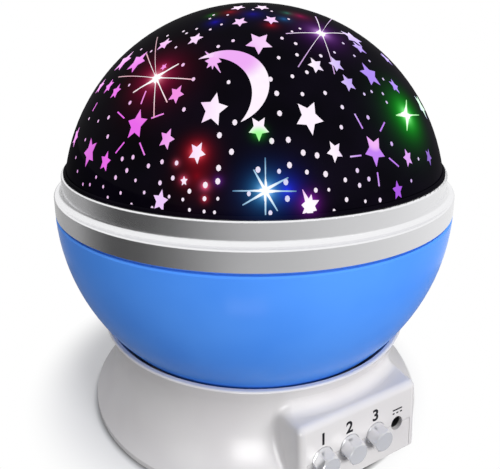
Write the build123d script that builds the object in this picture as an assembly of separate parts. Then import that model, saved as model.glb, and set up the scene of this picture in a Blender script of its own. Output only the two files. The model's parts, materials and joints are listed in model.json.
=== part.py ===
from build123d import *
import math
import os

# Star night light projector: a ball that turns in a flared base.
# Millimetres. Origin on the table under the ball's axis, +Z up, control panel towards -Y.

# ---------------------------------------------------------------- driving dimensions
# Ball
BALL_CENTRE_Z = 69.0
BOWL_RADIUS = 63.0
BOWL_WALL = 2.0
BOWL_FLOOR = 2.0
BOWL_RIM_Z = 67.6
BOWL_RIM_EDGE = 0.4
NECK_STEP = 1.5
NECK_WALL = 1.2
NECK_HEIGHT = 4.6
GROOVE_HEIGHT = 0.5

# Two-step trim ring between bowl and dome
RING_SKIRT_WALL = 1.2
RING_RIM_WIDTH = 1.0
RING_BAND = 5.8
RING_LEDGE = 1.4
RING_UPPER_BAND = 4.5
RING_SHELF = 2.0
RING_SHELF_WIDTH = 2.4
RING_EDGE = 0.5

# Star dome
DOME_INSET = 2.75
DOME_WALL = 1.8
DOME_BEAD = 0.9

# Flared base housing
SHELL_EDGE_Z = 0.8
SHELL_WALL = 2.0
LIP_WALL = 1.3
LIP_Z = 29.0
LIP_ROUNDING = 0.5
WAIST_INSET = 2.3
WAIST_Z = 17.0
SKIRT_FLARE = 4.6
SKIRT_BAND = 1.4

# Control panel block on the housing, set a little to one side
PANEL_X = 3.4
PANEL_PROUD = 0.1
PANEL_DEPTH = 25.5
PANEL_HALF_WIDTH = 20.5
PANEL_SPLAY = 3.0
PANEL_TOP_Z = 21.3
PANEL_LEAN = 0.05
PANEL_EDGE_RADIUS = 2.0
PANEL_BLEND_RADIUS = 3.0
TONGUE_MARGIN = 2.2
SEAM_GAP = 0.15

# Row of buttons and the power socket, all centred on the seam
CONTROL_Z = 10.3
BUTTON_FIRST_X = -9.9
BUTTON_PITCH = 9.2
BUTTON_COUNT = 3
BUTTON_RADIUS = 3.3
BUTTON_FLAT = 2.95
BUTTON_PROUD = 3.8
BUTTON_TIP_CHAMFER = 0.5
BUTTON_FLANGE = 1.0
BUTTON_FLANGE_WIDTH = 1.0
BUTTON_TRAVEL = 1.0
STEM_RADIUS = 1.5
SWITCH_SIDE = 6.6
SWITCH_DEPTH = 4.0
JACK_X = 16.5
JACK_HOLE_RADIUS = 2.1
JACK_WIDTH = 5.6
JACK_BORE_RADIUS = 1.75
JACK_PIN_RADIUS = 0.6

# Main board, upright behind the panel
BOARD_SETBACK = 11.8
BOARD_THICKNESS = 1.6
BOARD_EDGE_ROOM = 1.1
BOARD_TOP_Z = 17.4
BOARD_POST = 3.0
BOARD_POST_GRIP = 0.7
BOARD_POST_WALL = 0.8
BOARD_POST_HEIGHT = 8.0
CHIP_X = -8.0
CHIP_SIDE = 6.0
CHIP_HEIGHT = 5.0
CHIP_THICKNESS = 1.4
CHIP_RISE = 1.0
CAPACITOR_XS = (12.6, 16.6)
CAPACITOR_RADIUS = 1.5
CAPACITOR_LENGTH = 2.2

# Bottom cover, battery bay and door
COVER_Z = 1.2
COVER_THICKNESS = 2.4
DOOR_THICKNESS = 1.4
DOOR_LEDGE = 1.3
DOOR_LUG_RADIUS = 4.0
DOOR_LUG_THICKNESS = 2.4
GRIP_COUNT = 5
GRIP_PITCH = 3.2
GRIP_WIDTH = 1.4
GRIP_LENGTH = 7.0
GRIP_DEPTH = 0.5
CELL_RADIUS = 5.25
CELL_LENGTH = 44.5
CELL_NUB_RADIUS = 1.9
CELL_NUB = 0.8
CELL_COUNT = 4
CELL_SPACING = 0.4
CELL_END_ROOM = 2.2
BAY_CENTRE_Y = 8.5
BAY_WALL = 1.2
CRADLE_RIB = 2.0
CRADLE_REACH = 0.8
CONTACT_THICKNESS = 0.3
CONTACT_WIDTH = 7.0
CONTACT_HEIGHT = 8.5

# Feet
FOOT_RADIUS = 4.0
FOOT_RECESS = 0.6
FOOT_INSET = 7.2
FOOT_ANGLES = (60, 120, 240, 300)

# Lamp column and lamp board
COLUMN_RADIUS = 4.6
COLUMN_BORE_RADIUS = 2.6
BRIDGE_THICKNESS = 1.2
BRIDGE_WIDTH = 9.0
BRIDGE_SCREW_X = 31.0
LAMP_BOARD_RADIUS = 8.0
LAMP_BOARD_DROP = 3.0
LAMP_HEAD_HEIGHT = 2.0
LED_RADIUS = 2.5
LED_HEIGHT = 8.6
LED_FLANGE_RADIUS = 2.85
LED_FLANGE = 1.0
LED_CIRCLE = 4.3
LED_COUNT = 4

# Lamp plate over the bowl
PLATE_THICKNESS = 1.2
PLATE_COLLAR_HEIGHT = 6.0
PLATE_COLLAR_WALL = 1.2
PLATE_HOLE_GAP = 2.4

# Gear train: the ring gear under the bowl and the motor's pinion
MODULE = 0.7
PRESSURE_ANGLE = 25.0
PINION_TEETH = 16
TOOTH_ROOT = 1.25
GEAR_FACE = 3.0
GEAR_RIM = 2.8
GEAR_HUB_RADIUS = 10.0
BACKLASH = 0.12
DECK_THICKNESS = 2.0
THRUST_RING = 0.7
WASHER_THICKNESS = 0.5
WASHER_WIDTH = 2.6

# Gear motor under the deck, between the battery bay and the board
MOTOR_ROOM = 2.0
MOTOR_HEIGHT = 10.6
MOTOR_EAR_REACH = 3.5
MOTOR_EAR_RADIUS = 3.4
MOTOR_EAR = 1.0
MOTOR_SHAFT_RADIUS = 1.5

# Screws and bosses
BOSS_RADIUS = 3.0
SCREW_RADIUS = 1.1
SCREW_HEAD_RADIUS = 2.0
SCREW_HEAD = 1.2
SCREW_BITE = 4.0
LONG_SCREW_BITE = 8.0
BOSS_SINK = 0.7
HOUSING_SCREW_ANGLES = (30, 150, 218, 322)
GEAR_SCREW_CIRCLE = 7.3
GEAR_SCREW_COUNT = 3
GEAR_SCREW_SINK = 2.4
BOWL_BOSS_RADIUS = 2.3

# ---------------------------------------------------------------- named clearances
BALL_GAP = 0.7
DOME_GAP = 0.3
NECK_GAP = 0.3
PLATE_GAP = 0.3
RUNNING_GAP = 0.08
BUTTON_GAP = 0.1
SLIP_GAP = 0.3
GEAR_GAP = 0.6
COVER_GAP = 0.2
SCREW_HOLE_GAP = 0.15
EDGE_SEARCH = 0.15
MARGIN = 1.0


# ---------------------------------------------------------------- worked-out levels
def sphere_radius_at(radius, z):
    """Radius of the ball-centred sphere's section at height z."""
    return math.sqrt(radius**2 - (z - BALL_CENTRE_Z) ** 2)


DOME_RADIUS = BOWL_RADIUS - DOME_INSET
CUP_RADIUS = BOWL_RADIUS + BALL_GAP
LIP_RADIUS = sphere_radius_at(CUP_RADIUS, LIP_Z) + LIP_WALL
WAIST_RADIUS = LIP_RADIUS - WAIST_INSET
SKIRT_RADIUS = LIP_RADIUS + SKIRT_FLARE
PANEL_DISTANCE = SKIRT_RADIUS + PANEL_PROUD
PANEL_BACK_DISTANCE = PANEL_DISTANCE - PANEL_DEPTH
PANEL_BACK_HALF_WIDTH = PANEL_HALF_WIDTH + PANEL_SPLAY
BOARD_DISTANCE = PANEL_DISTANCE - BOARD_SETBACK
COVER_RADIUS = SKIRT_RADIUS - SHELL_WALL - COVER_GAP
FOOT_CIRCLE = COVER_RADIUS - FOOT_INSET
HOUSING_SCREW_CIRCLE = WAIST_RADIUS - SHELL_WALL + BOSS_SINK - BOSS_RADIUS

COVER_TOP_Z = COVER_Z + COVER_THICKNESS
DOOR_TOP_Z = COVER_Z + DOOR_THICKNESS
CELL_AXIS_Z = DOOR_TOP_Z + SLIP_GAP + CELL_RADIUS
BAY_ROOF_Z = CELL_AXIS_Z + CELL_RADIUS + SLIP_GAP
BRIDGE_Z = BAY_ROOF_Z + BAY_WALL + SLIP_GAP
BRIDGE_TOP_Z = BRIDGE_Z + BRIDGE_THICKNESS
GEAR_Z = BRIDGE_TOP_Z + GEAR_GAP
GEAR_TOP_Z = GEAR_Z + GEAR_FACE
DECK_Z = GEAR_TOP_Z + GEAR_GAP
DECK_TOP_Z = DECK_Z + DECK_THICKNESS
WASHER_Z = DECK_TOP_Z + THRUST_RING
BOWL_FLOOR_Z = WASHER_Z + WASHER_THICKNESS
BOWL_FLOOR_TOP_Z = BOWL_FLOOR_Z + BOWL_FLOOR

NECK_TOP_Z = BOWL_RIM_Z + NECK_HEIGHT
NECK_RADIUS = sphere_radius_at(BOWL_RADIUS, BOWL_RIM_Z) - NECK_STEP
RING_Z = BOWL_RIM_Z + GROOVE_HEIGHT
RING_LEDGE_Z = RING_Z + RING_BAND
RING_UPPER_Z = RING_LEDGE_Z + RING_LEDGE
RING_TOP_Z = RING_UPPER_Z + RING_UPPER_BAND
SHELF_TOP_Z = NECK_TOP_Z + RING_SHELF
DOME_SKIRT_RADIUS = sphere_radius_at(DOME_RADIUS, RING_TOP_Z)
SOCKET_RADIUS = DOME_SKIRT_RADIUS + DOME_GAP
RING_UPPER_RADIUS = SOCKET_RADIUS + RING_RIM_WIDTH
RING_RADIUS = NECK_RADIUS + NECK_GAP + RING_SKIRT_WALL
PLATE_TOP_Z = SHELF_TOP_Z + PLATE_THICKNESS
LAMP_BOARD_Z = SHELF_TOP_Z - LAMP_BOARD_DROP - BOARD_THICKNESS
LAMP_HEAD_Z = LAMP_BOARD_Z - LAMP_HEAD_HEIGHT

MOTOR_TOP_Z = BRIDGE_TOP_Z
MOTOR_Z = MOTOR_TOP_Z - MOTOR_HEIGHT
COLUMN_HOLE_RADIUS = COLUMN_RADIUS + SLIP_GAP

CELL_PITCH = 2 * CELL_RADIUS + CELL_SPACING
BAY_HALF_LENGTH = CELL_LENGTH / 2 + CELL_END_ROOM
BAY_HALF_WIDTH = CELL_COUNT * CELL_PITCH / 2
DOOR_HALF_LENGTH = BAY_HALF_LENGTH + DOOR_LEDGE
DOOR_HALF_WIDTH = BAY_HALF_WIDTH + DOOR_LEDGE
DOOR_EDGE_Y = BAY_CENTRE_Y + DOOR_HALF_WIDTH
DOOR_SCREW_Y = DOOR_EDGE_Y + DOOR_LUG_RADIUS
DOOR_LUG_TOP_Z = COVER_Z + DOOR_LUG_THICKNESS

CONTROLS_LEFT = BUTTON_FIRST_X - SWITCH_SIDE / 2
CONTROLS_RIGHT = JACK_X + JACK_WIDTH / 2
BOARD_X = (CONTROLS_LEFT + CONTROLS_RIGHT) / 2
BOARD_HALF_WIDTH = (CONTROLS_RIGHT - CONTROLS_LEFT) / 2 + BOARD_EDGE_ROOM
BOARD_BACK_Y = -(BOARD_DISTANCE - BOARD_THICKNESS)
BAY_FRONT_Y = BAY_CENTRE_Y - BAY_HALF_WIDTH - BAY_WALL
MOTOR_RADIUS = (BAY_FRONT_Y - BOARD_BACK_Y) / 2 - MOTOR_ROOM
MOTOR_EAR_X = MOTOR_RADIUS + MOTOR_EAR_REACH
PITCHES_TO_MOTOR = math.floor(-(BAY_FRONT_Y + BOARD_BACK_Y) / 2 / MODULE)
GEAR_TEETH = 2 * PITCHES_TO_MOTOR - PINION_TEETH
CENTRE_DISTANCE = MODULE * PITCHES_TO_MOTOR

BOARD_Z = COVER_TOP_Z + SLIP_GAP
SWITCH_FRONT_Y = -(BOARD_DISTANCE + SWITCH_DEPTH)
TONGUE_HALF_WIDTH = PANEL_HALF_WIDTH - TONGUE_MARGIN


def panel_y(z, inset=0.0):
    """Y of the leaning front panel at height z, moved in by inset."""
    return -(PANEL_DISTANCE - PANEL_LEAN * (z - SHELL_EDGE_Z) - inset)


FLANGE_Y = panel_y(CONTROL_Z + BUTTON_RADIUS + BUTTON_FLANGE_WIDTH, SHELL_WALL) + SLIP_GAP
BUTTON_TIP_Y = panel_y(CONTROL_Z) - BUTTON_PROUD
CONTROL_XS = [BUTTON_FIRST_X + index * BUTTON_PITCH for index in range(BUTTON_COUNT)]


# ---------------------------------------------------------------- small builders
def rod(radius, z_low, z_high, x=0.0, y=0.0):
    """Upright cylinder."""
    height = z_high - z_low
    return Pos(x, y, z_low + height / 2) * Cylinder(radius, height)


def tube(outer, inner, z_low, z_high, x=0.0, y=0.0):
    """Upright pipe."""
    return rod(outer, z_low, z_high, x, y) - rod(inner, z_low, z_high, x, y)


def rod_y(radius, y_low, y_high, x, z):
    """Cylinder lying along Y."""
    length = y_high - y_low
    return Pos(x, y_low + length / 2, z) * Rot(90, 0, 0) * Cylinder(radius, length)


def rod_x(radius, x_low, x_high, y, z):
    """Cylinder lying along X."""
    length = x_high - x_low
    return Pos(x_low + length / 2, y, z) * Rot(0, 90, 0) * Cylinder(radius, length)


def block(x_low, x_high, y_low, y_high, z_low, z_high):
    """Box between six planes."""
    size = (x_high - x_low, y_high - y_low, z_high - z_low)
    centre = Pos((x_low + x_high) / 2, (y_low + y_high) / 2, (z_low + z_high) / 2)
    return centre * Box(*size)


def turned(edges):
    """Solid of revolution about Z from edges drawn in the XZ plane."""
    return revolve(make_face(Curve() + edges), Axis.Z)


def path(*points):
    """Straight edges through points given as (radius, z)."""
    places = [Vector(radius, 0, z) for radius, z in points]
    return [Line(start, end) for start, end in zip(places, places[1:])]


def sphere_arc(radius, z_start, z_end):
    """Arc of a ball-centred circle in the XZ plane between two heights."""
    z_middle = (z_start + z_end) / 2
    points = [Vector(sphere_radius_at(radius, z), 0, z) for z in (z_start, z_middle, z_end)]
    return ThreePointArc(*points)


def around(radius, angles):
    """Points on a circle at the given angles in degrees."""
    places = []
    for angle in angles:
        turn = math.radians(angle)
        places.append((radius * math.cos(turn), radius * math.sin(turn)))
    return places


def evenly(count, first=0.0):
    """Angles in degrees of count places spread round a circle."""
    return [first + index * 360 / count for index in range(count)]


def screw_up(x, y, z_seat, bite=SCREW_BITE):
    """Screw driven upwards, its head seated against a face at z_seat."""
    head = rod(SCREW_HEAD_RADIUS, z_seat - SCREW_HEAD, z_seat, x, y)
    slot = rod(SCREW_RADIUS / 2, z_seat - SCREW_HEAD, z_seat - SCREW_HEAD / 2, x, y)
    return head + rod(SCREW_RADIUS, z_seat, z_seat + bite, x, y) - slot


# ---------------------------------------------------------------- flared housing
def flank_circle():
    """Centre and radius of the circle through the lip, waist and skirt points."""
    (x1, z1), (x2, z2), (x3, z3) = flank_points()
    d = 2 * (x1 * (z2 - z3) + x2 * (z3 - z1) + x3 * (z1 - z2))
    s1 = x1**2 + z1**2
    s2 = x2**2 + z2**2
    s3 = x3**2 + z3**2
    centre_x = (s1 * (z2 - z3) + s2 * (z3 - z1) + s3 * (z1 - z2)) / d
    centre_z = (s1 * (x3 - x2) + s2 * (x1 - x3) + s3 * (x2 - x1)) / d
    return centre_x, centre_z, math.hypot(x1 - centre_x, z1 - centre_z)


def flank_points():
    """Lip, waist and skirt points that the hollow flank curve runs through."""
    return (
        (LIP_RADIUS, LIP_Z - LIP_ROUNDING),
        (WAIST_RADIUS, WAIST_Z),
        (SKIRT_RADIUS, SHELL_EDGE_Z + SKIRT_BAND),
    )


def flank_radius_at(z, inset=0.0):
    """Radius of the flank at height z, moved into the body by inset."""
    centre_x, centre_z, radius = flank_circle()
    return centre_x - math.sqrt((radius + inset) ** 2 - (z - centre_z) ** 2)


def flank_arc(z_start, z_end, inset=0.0):
    """Flank curve between two heights in the XZ plane."""
    z_middle = (z_start + z_end) / 2
    points = [Vector(flank_radius_at(z, inset), 0, z) for z in (z_start, z_middle, z_end)]
    return ThreePointArc(*points)


def flared_body():
    """Solid of the flared base without its hollow."""
    skirt_top = SHELL_EDGE_Z + SKIRT_BAND
    shoulder = LIP_Z - LIP_ROUNDING
    lip_end = LIP_RADIUS - LIP_ROUNDING
    lip = ThreePointArc(
        Vector(LIP_RADIUS, 0, shoulder),
        Vector(lip_end + LIP_ROUNDING * math.sqrt(0.5), 0, shoulder + LIP_ROUNDING * math.sqrt(0.5)),
        Vector(lip_end, 0, LIP_Z),
    )
    outside = path((0, SHELL_EDGE_Z), (SKIRT_RADIUS, SHELL_EDGE_Z), (SKIRT_RADIUS, skirt_top))
    inside = path((lip_end, LIP_Z), (0, LIP_Z), (0, SHELL_EDGE_Z))
    return turned(outside + [flank_arc(skirt_top, shoulder), lip] + inside)


def flared_hollow():
    """Space under the deck inside the flared wall."""
    wall_foot = COVER_TOP_Z + COVER_GAP
    inner = SKIRT_RADIUS - SHELL_WALL
    floor = SHELL_EDGE_Z - MARGIN
    outline = path((0, floor), (inner, floor), (inner, wall_foot))
    flank_foot = flank_radius_at(wall_foot, SHELL_WALL)
    outline += path((inner, wall_foot), (flank_foot, wall_foot))
    outline.append(flank_arc(wall_foot, DECK_Z, SHELL_WALL))
    outline += path((flank_radius_at(DECK_Z, SHELL_WALL), DECK_Z), (0, DECK_Z), (0, floor))
    return turned(outline)


def ball_cup():
    """Space over the deck that the lower part of the ball turns in."""
    over = LIP_Z + MARGIN
    floor_radius = sphere_radius_at(CUP_RADIUS, DECK_TOP_Z)
    outline = path((0, DECK_TOP_Z), (floor_radius, DECK_TOP_Z))
    outline.append(sphere_arc(CUP_RADIUS, DECK_TOP_Z, over))
    outline += path((sphere_radius_at(CUP_RADIUS, over), over), (0, over), (0, DECK_TOP_Z))
    return turned(outline)


def panel_slice(z, inset):
    """Plan of the control block at height z, moved in by inset."""
    front_y = panel_y(z, inset)
    front_x = PANEL_HALF_WIDTH - inset
    back_x = PANEL_BACK_HALF_WIDTH - inset
    corners = [(-back_x, -PANEL_BACK_DISTANCE), (-front_x, front_y)]
    corners += [(-x, y) for x, y in reversed(corners)]
    places = [Vector(PANEL_X + x, y, z) for x, y in corners]
    return make_face(Polyline(*places, close=True))


def panel_block(inset=0.0):
    """Control block that stands out of the flank, moved in by inset."""
    low = SHELL_EDGE_Z - (MARGIN if inset else 0)
    slices = [panel_slice(low, inset), panel_slice(PANEL_TOP_Z - inset, inset)]
    return loft(slices)


def rounded_panel():
    """Control block with its rounded top and upright edges."""
    solid = panel_block()
    front = [edge for edge in solid.edges() if edge.center().Y < -(PANEL_DISTANCE + PANEL_BACK_DISTANCE) / 2]
    uprights = [edge for edge in front if abs(edge.tangent_at(0.5).Z) > math.sqrt(0.5)]
    solid = fillet(uprights, PANEL_EDGE_RADIUS)
    top = [edge for edge in solid.edges() if edge.center().Z > PANEL_TOP_Z - EDGE_SEARCH]
    top = [edge for edge in top if edge.center().Y < -PANEL_BACK_DISTANCE - EDGE_SEARCH]
    return fillet(top, PANEL_EDGE_RADIUS)


def blended_shell():
    """Flared body and control block in one, with the seat between them rounded."""
    shell = flared_body() + rounded_panel()
    seat = [edge for edge in shell.edges() if is_blend_edge(edge)]
    return fillet(seat, PANEL_BLEND_RADIUS)


def is_blend_edge(edge):
    """True for the edge where the block's flat top meets the hollow flank."""
    middle = edge.center()
    off_flank = abs(math.hypot(middle.X, middle.Y) - flank_radius_at(PANEL_TOP_Z))
    return off_flank < MARGIN and abs(middle.Z - PANEL_TOP_Z) < EDGE_SEARCH


def control_holes():
    """Round holes for the buttons and the socket, half in each part of the panel."""
    outer_y = -PANEL_DISTANCE - MARGIN
    inner_y = panel_y(PANEL_TOP_Z, SHELL_WALL)
    holes = [rod_y(BUTTON_RADIUS + BUTTON_GAP, outer_y, inner_y, x, CONTROL_Z) for x in CONTROL_XS]
    return holes + [rod_y(JACK_HOLE_RADIUS, outer_y, inner_y, JACK_X, CONTROL_Z)]


def panel_room(z_low, z_high):
    """Box round the whole control block between two heights."""
    half = PANEL_BACK_HALF_WIDTH
    return block(PANEL_X - half, PANEL_X + half, -PANEL_DISTANCE, 0, z_low, z_high)


def tongue_window(gap):
    """Room for the cover's tongue in the panel, made smaller by gap on three sides."""
    half = TONGUE_HALF_WIDTH - gap
    back_y = panel_y(PANEL_TOP_Z, SHELL_WALL) + MARGIN
    low = SHELL_EDGE_Z - MARGIN if not gap else SHELL_EDGE_Z
    front_y = -PANEL_DISTANCE - MARGIN
    return block(PANEL_X - half, PANEL_X + half, front_y, back_y, low, CONTROL_Z - gap)


def boss(x, y, z_low):
    """Screw boss hanging from the deck."""
    return rod(BOSS_RADIUS, z_low, DECK_TOP_Z - MARGIN, x, y)


def pilot(x, y, z_low, bite=SCREW_BITE):
    """Pilot hole for a screw driven upwards from z_low."""
    return rod(SCREW_RADIUS, z_low - MARGIN, z_low + bite + SLIP_GAP, x, y)


def motor_screw_places():
    """Places of the screws through the motor's ears."""
    return [(-MOTOR_EAR_X, -CENTRE_DISTANCE), (MOTOR_EAR_X, -CENTRE_DISTANCE)]


def bridge_screw_places():
    """Places of the screws through the column's feet."""
    return [(-BRIDGE_SCREW_X, 0), (BRIDGE_SCREW_X, 0)]


def housing_screw_places():
    """Places of the screws that close the bottom cover."""
    return around(HOUSING_SCREW_CIRCLE, HOUSING_SCREW_ANGLES)


def base_housing():
    """Flared upper housing: cup, deck, control block and hanging bosses."""
    shell = blended_shell() - ball_cup()
    shell -= flared_hollow()
    shell -= panel_block(SHELL_WALL) & panel_room(SHELL_EDGE_Z - MARGIN, DECK_Z)
    thrust = GEAR_HUB_RADIUS + RUNNING_GAP
    shell += tube(thrust + WASHER_WIDTH, thrust, DECK_TOP_Z - MARGIN, WASHER_Z)
    for x, y in housing_screw_places():
        shell += boss(x, y, COVER_TOP_Z)
        shell -= pilot(x, y, COVER_TOP_Z, LONG_SCREW_BITE)
    for x, y in motor_screw_places() + bridge_screw_places():
        shell += boss(x, y, MOTOR_TOP_Z)
        shell -= pilot(x, y, MOTOR_TOP_Z)
    shell -= rod(thrust, DECK_Z - MARGIN, WASHER_Z + MARGIN)
    shell -= tongue_window(0)
    return shell - control_holes()


# ---------------------------------------------------------------- bottom cover
def bay_block(length_extra, width_extra, z_low, z_high):
    """Box centred on the battery bay, larger than its inside by the two extras."""
    half_length = BAY_HALF_LENGTH + length_extra
    half_width = BAY_HALF_WIDTH + width_extra
    y_low = BAY_CENTRE_Y - half_width
    y_high = BAY_CENTRE_Y + half_width
    return block(-half_length, half_length, y_low, y_high, z_low, z_high)


def door_body(gap, z_low, slack):
    """Battery door's plate and thicker screw lug, grown by gap and raised by slack."""
    half = DOOR_LUG_RADIUS + gap
    plate = bay_block(DOOR_LEDGE + gap, DOOR_LEDGE + gap, z_low, DOOR_TOP_Z + slack)
    plate += block(-half, half, DOOR_EDGE_Y - MARGIN, DOOR_SCREW_Y, z_low, DOOR_TOP_Z + slack)
    return plate + rod(half, z_low, DOOR_LUG_TOP_Z + slack, 0, DOOR_SCREW_Y)


def board_posts():
    """Slotted posts that hold the upright board's ends."""
    y_low = -(BOARD_DISTANCE + BOARD_POST)
    y_high = BOARD_BACK_Y + BOARD_POST
    x_far = BOARD_HALF_WIDTH + BOARD_POST_WALL
    x_near = BOARD_HALF_WIDTH - BOARD_POST_GRIP
    posts = []
    for side in (-1, 1):
        x_low, x_high = sorted((BOARD_X + side * x_near, BOARD_X + side * x_far))
        post = block(x_low, x_high, y_low, y_high, COVER_TOP_Z - MARGIN, COVER_TOP_Z + BOARD_POST_HEIGHT)
        posts.append(post)
    return posts


def board_slot():
    """Room for the board between the posts' cheeks."""
    half = BOARD_HALF_WIDTH
    y_low = -BOARD_DISTANCE - RUNNING_GAP
    y_high = BOARD_BACK_Y + RUNNING_GAP
    return block(BOARD_X - half, BOARD_X + half, y_low, y_high, COVER_TOP_Z, BOARD_TOP_Z)


def cell_cradle():
    """Ribs under the bay roof that keep the cells apart."""
    half = CRADLE_RIB / 2
    low = CELL_AXIS_Z + CELL_RADIUS * CRADLE_REACH
    high = BAY_ROOF_Z + BAY_WALL / 2
    ribs = []
    for index in range(1, CELL_COUNT):
        y = BAY_CENTRE_Y - BAY_HALF_WIDTH + index * CELL_PITCH
        for x in (-CELL_LENGTH / 4, CELL_LENGTH / 4):
            ribs.append(block(x - half, x + half, y - half, y + half, low, high))
    return ribs


def bottom_cover():
    """Bottom cover with its front tongue, battery bay, feet recesses and board posts."""
    plate = rod(COVER_RADIUS, COVER_Z, COVER_TOP_Z)
    plate += panel_block(SHELL_WALL + COVER_GAP) & panel_room(COVER_Z, COVER_TOP_Z)
    tongue = panel_block() - panel_block(SHELL_WALL + COVER_GAP)
    tongue &= tongue_window(SEAM_GAP)
    cover = plate + tongue + board_posts()
    cover += bay_block(BAY_WALL, BAY_WALL, COVER_Z, BAY_ROOF_Z + BAY_WALL)
    lug_boss = DOOR_LUG_RADIUS + SLIP_GAP + BAY_WALL
    cover += rod(lug_boss, COVER_Z, DOOR_LUG_TOP_Z + SCREW_BITE, 0, DOOR_SCREW_Y)
    cover -= bay_block(0, 0, COVER_Z - MARGIN, BAY_ROOF_Z)
    cover += cell_cradle()
    cover -= door_body(SLIP_GAP, COVER_Z - MARGIN, 0)
    cover -= rod(SCREW_RADIUS, COVER_Z, DOOR_LUG_TOP_Z + SCREW_BITE - MARGIN / 2, 0, DOOR_SCREW_Y)
    cover -= board_slot()
    for x, y in housing_screw_places():
        cover -= rod(SCREW_RADIUS + SCREW_HOLE_GAP, COVER_Z - MARGIN, COVER_TOP_Z + MARGIN, x, y)
        cover -= rod(SCREW_HEAD_RADIUS + SCREW_HOLE_GAP, COVER_Z - MARGIN, COVER_Z + SCREW_HEAD, x, y)
    for x, y in around(FOOT_CIRCLE, FOOT_ANGLES):
        cover -= rod(FOOT_RADIUS, COVER_Z - MARGIN, COVER_Z + FOOT_RECESS, x, y)
    return cover - control_holes()


def battery_door():
    """Battery door with its screw lug, flush in the bottom cover."""
    door = door_body(0, COVER_Z, -RUNNING_GAP)
    door -= rod(SCREW_RADIUS + SCREW_HOLE_GAP, COVER_Z - MARGIN, DOOR_LUG_TOP_Z, 0, DOOR_SCREW_Y)
    door -= rod(SCREW_HEAD_RADIUS + SCREW_HOLE_GAP, COVER_Z - MARGIN, COVER_Z + SCREW_HEAD, 0, DOOR_SCREW_Y)
    y_first = BAY_CENTRE_Y - BAY_HALF_WIDTH + GRIP_LENGTH
    for index in range(GRIP_COUNT):
        x = (index - (GRIP_COUNT - 1) / 2) * GRIP_PITCH
        groove = (x - GRIP_WIDTH / 2, x + GRIP_WIDTH / 2, y_first, y_first + GRIP_LENGTH)
        door -= block(*groove, COVER_Z - MARGIN, COVER_Z + GRIP_DEPTH)
    return door


def rubber_foot(x, y):
    """Round foot with a softened edge, set in its recess."""
    foot = rod(FOOT_RADIUS - RUNNING_GAP, 0, COVER_Z + FOOT_RECESS, x, y)
    return chamfer(foot.edges().sort_by(Axis.Z)[0], FOOT_RECESS / 2)


# ---------------------------------------------------------------- batteries
def cell_side(index):
    """Direction along X that a cell's positive end points."""
    return 1 if index % 2 == 0 else -1


def cell_y(index):
    """Y of a cell's axis."""
    return BAY_CENTRE_Y - BAY_HALF_WIDTH + (index + 0.5) * CELL_PITCH


def battery(index):
    """One AAA cell with its positive nub."""
    side = cell_side(index)
    half = CELL_LENGTH / 2
    shift = -side * CELL_NUB / 2
    y = cell_y(index)
    can_half = half - CELL_NUB / 2
    can = rod_x(CELL_RADIUS, shift - can_half, shift + can_half, y, CELL_AXIS_Z)
    ends = sorted((side * half, side * (half - CELL_NUB - MARGIN)))
    return can + rod_x(CELL_NUB_RADIUS, ends[0], ends[1], y, CELL_AXIS_Z)


def contact_strip(index, side, reach):
    """Bent strip on the bay's end wall whose bulge reaches towards a cell."""
    wall = side * (BAY_HALF_LENGTH - RUNNING_GAP)
    bulge = wall - side * reach
    half_height = CONTACT_HEIGHT / 2
    outline = [
        (wall, CELL_AXIS_Z - half_height),
        (wall, CELL_AXIS_Z - reach),
        (bulge, CELL_AXIS_Z - CONTACT_THICKNESS),
        (bulge, CELL_AXIS_Z + CONTACT_THICKNESS),
        (wall, CELL_AXIS_Z + reach),
        (wall, CELL_AXIS_Z + half_height),
    ]
    front = [(x - side * CONTACT_THICKNESS, z) for x, z in reversed(outline)]
    places = [Vector(x, 0, z) for x, z in outline + front]
    strip = extrude(make_face(Polyline(*places, close=True)), CONTACT_WIDTH / 2, both=True)
    return Pos(0, cell_y(index), 0) * strip


def contacts(positive):
    """Strips at all the cells' positive or negative ends."""
    strips = []
    for index in range(CELL_COUNT):
        side = cell_side(index) if positive else -cell_side(index)
        reach = CELL_END_ROOM - CONTACT_THICKNESS - 2 * RUNNING_GAP
        strips.append(contact_strip(index, side, reach))
    return strips


# ---------------------------------------------------------------- controls
def button(x):
    """Push button: retaining flange, round bearing and six-sided cap."""
    face_y = panel_y(CONTROL_Z)
    bearing = rod_y(BUTTON_RADIUS, face_y, FLANGE_Y + MARGIN / 2, x, CONTROL_Z)
    flange_radius = BUTTON_RADIUS + BUTTON_FLANGE_WIDTH
    flange = rod_y(flange_radius, FLANGE_Y, FLANGE_Y + BUTTON_FLANGE, x, CONTROL_Z)
    tip = rod_y(BUTTON_RADIUS, BUTTON_TIP_Y, face_y, x, CONTROL_Z)
    tip = chamfer(tip.edges().sort_by(Axis.Y)[0], BUTTON_TIP_CHAMFER)
    hexagon = extrude(RegularPolygon(BUTTON_FLAT, 6, major_radius=False), BUTTON_PROUD)
    tip &= Pos(x, face_y, CONTROL_Z) * Rot(90, 0, 0) * hexagon
    return bearing + flange + tip


def switch_stem(x):
    """Plunger of a push switch, behind its button."""
    y_front = FLANGE_Y + BUTTON_FLANGE
    y_back = SWITCH_FRONT_Y + SWITCH_DEPTH / 2 - BUTTON_TRAVEL
    return rod_y(STEM_RADIUS, y_front, y_back, x, CONTROL_Z)


def push_switch(x):
    """Push switch body on the board, bored for its plunger."""
    half = SWITCH_SIDE / 2
    body = block(x - half, x + half, SWITCH_FRONT_Y, -BOARD_DISTANCE, CONTROL_Z - half, CONTROL_Z + half)
    bore_end = SWITCH_FRONT_Y + SWITCH_DEPTH / 2 + BUTTON_TRAVEL / 2
    return body - rod_y(STEM_RADIUS + RUNNING_GAP, SWITCH_FRONT_Y - MARGIN, bore_end, x, CONTROL_Z)


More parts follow.
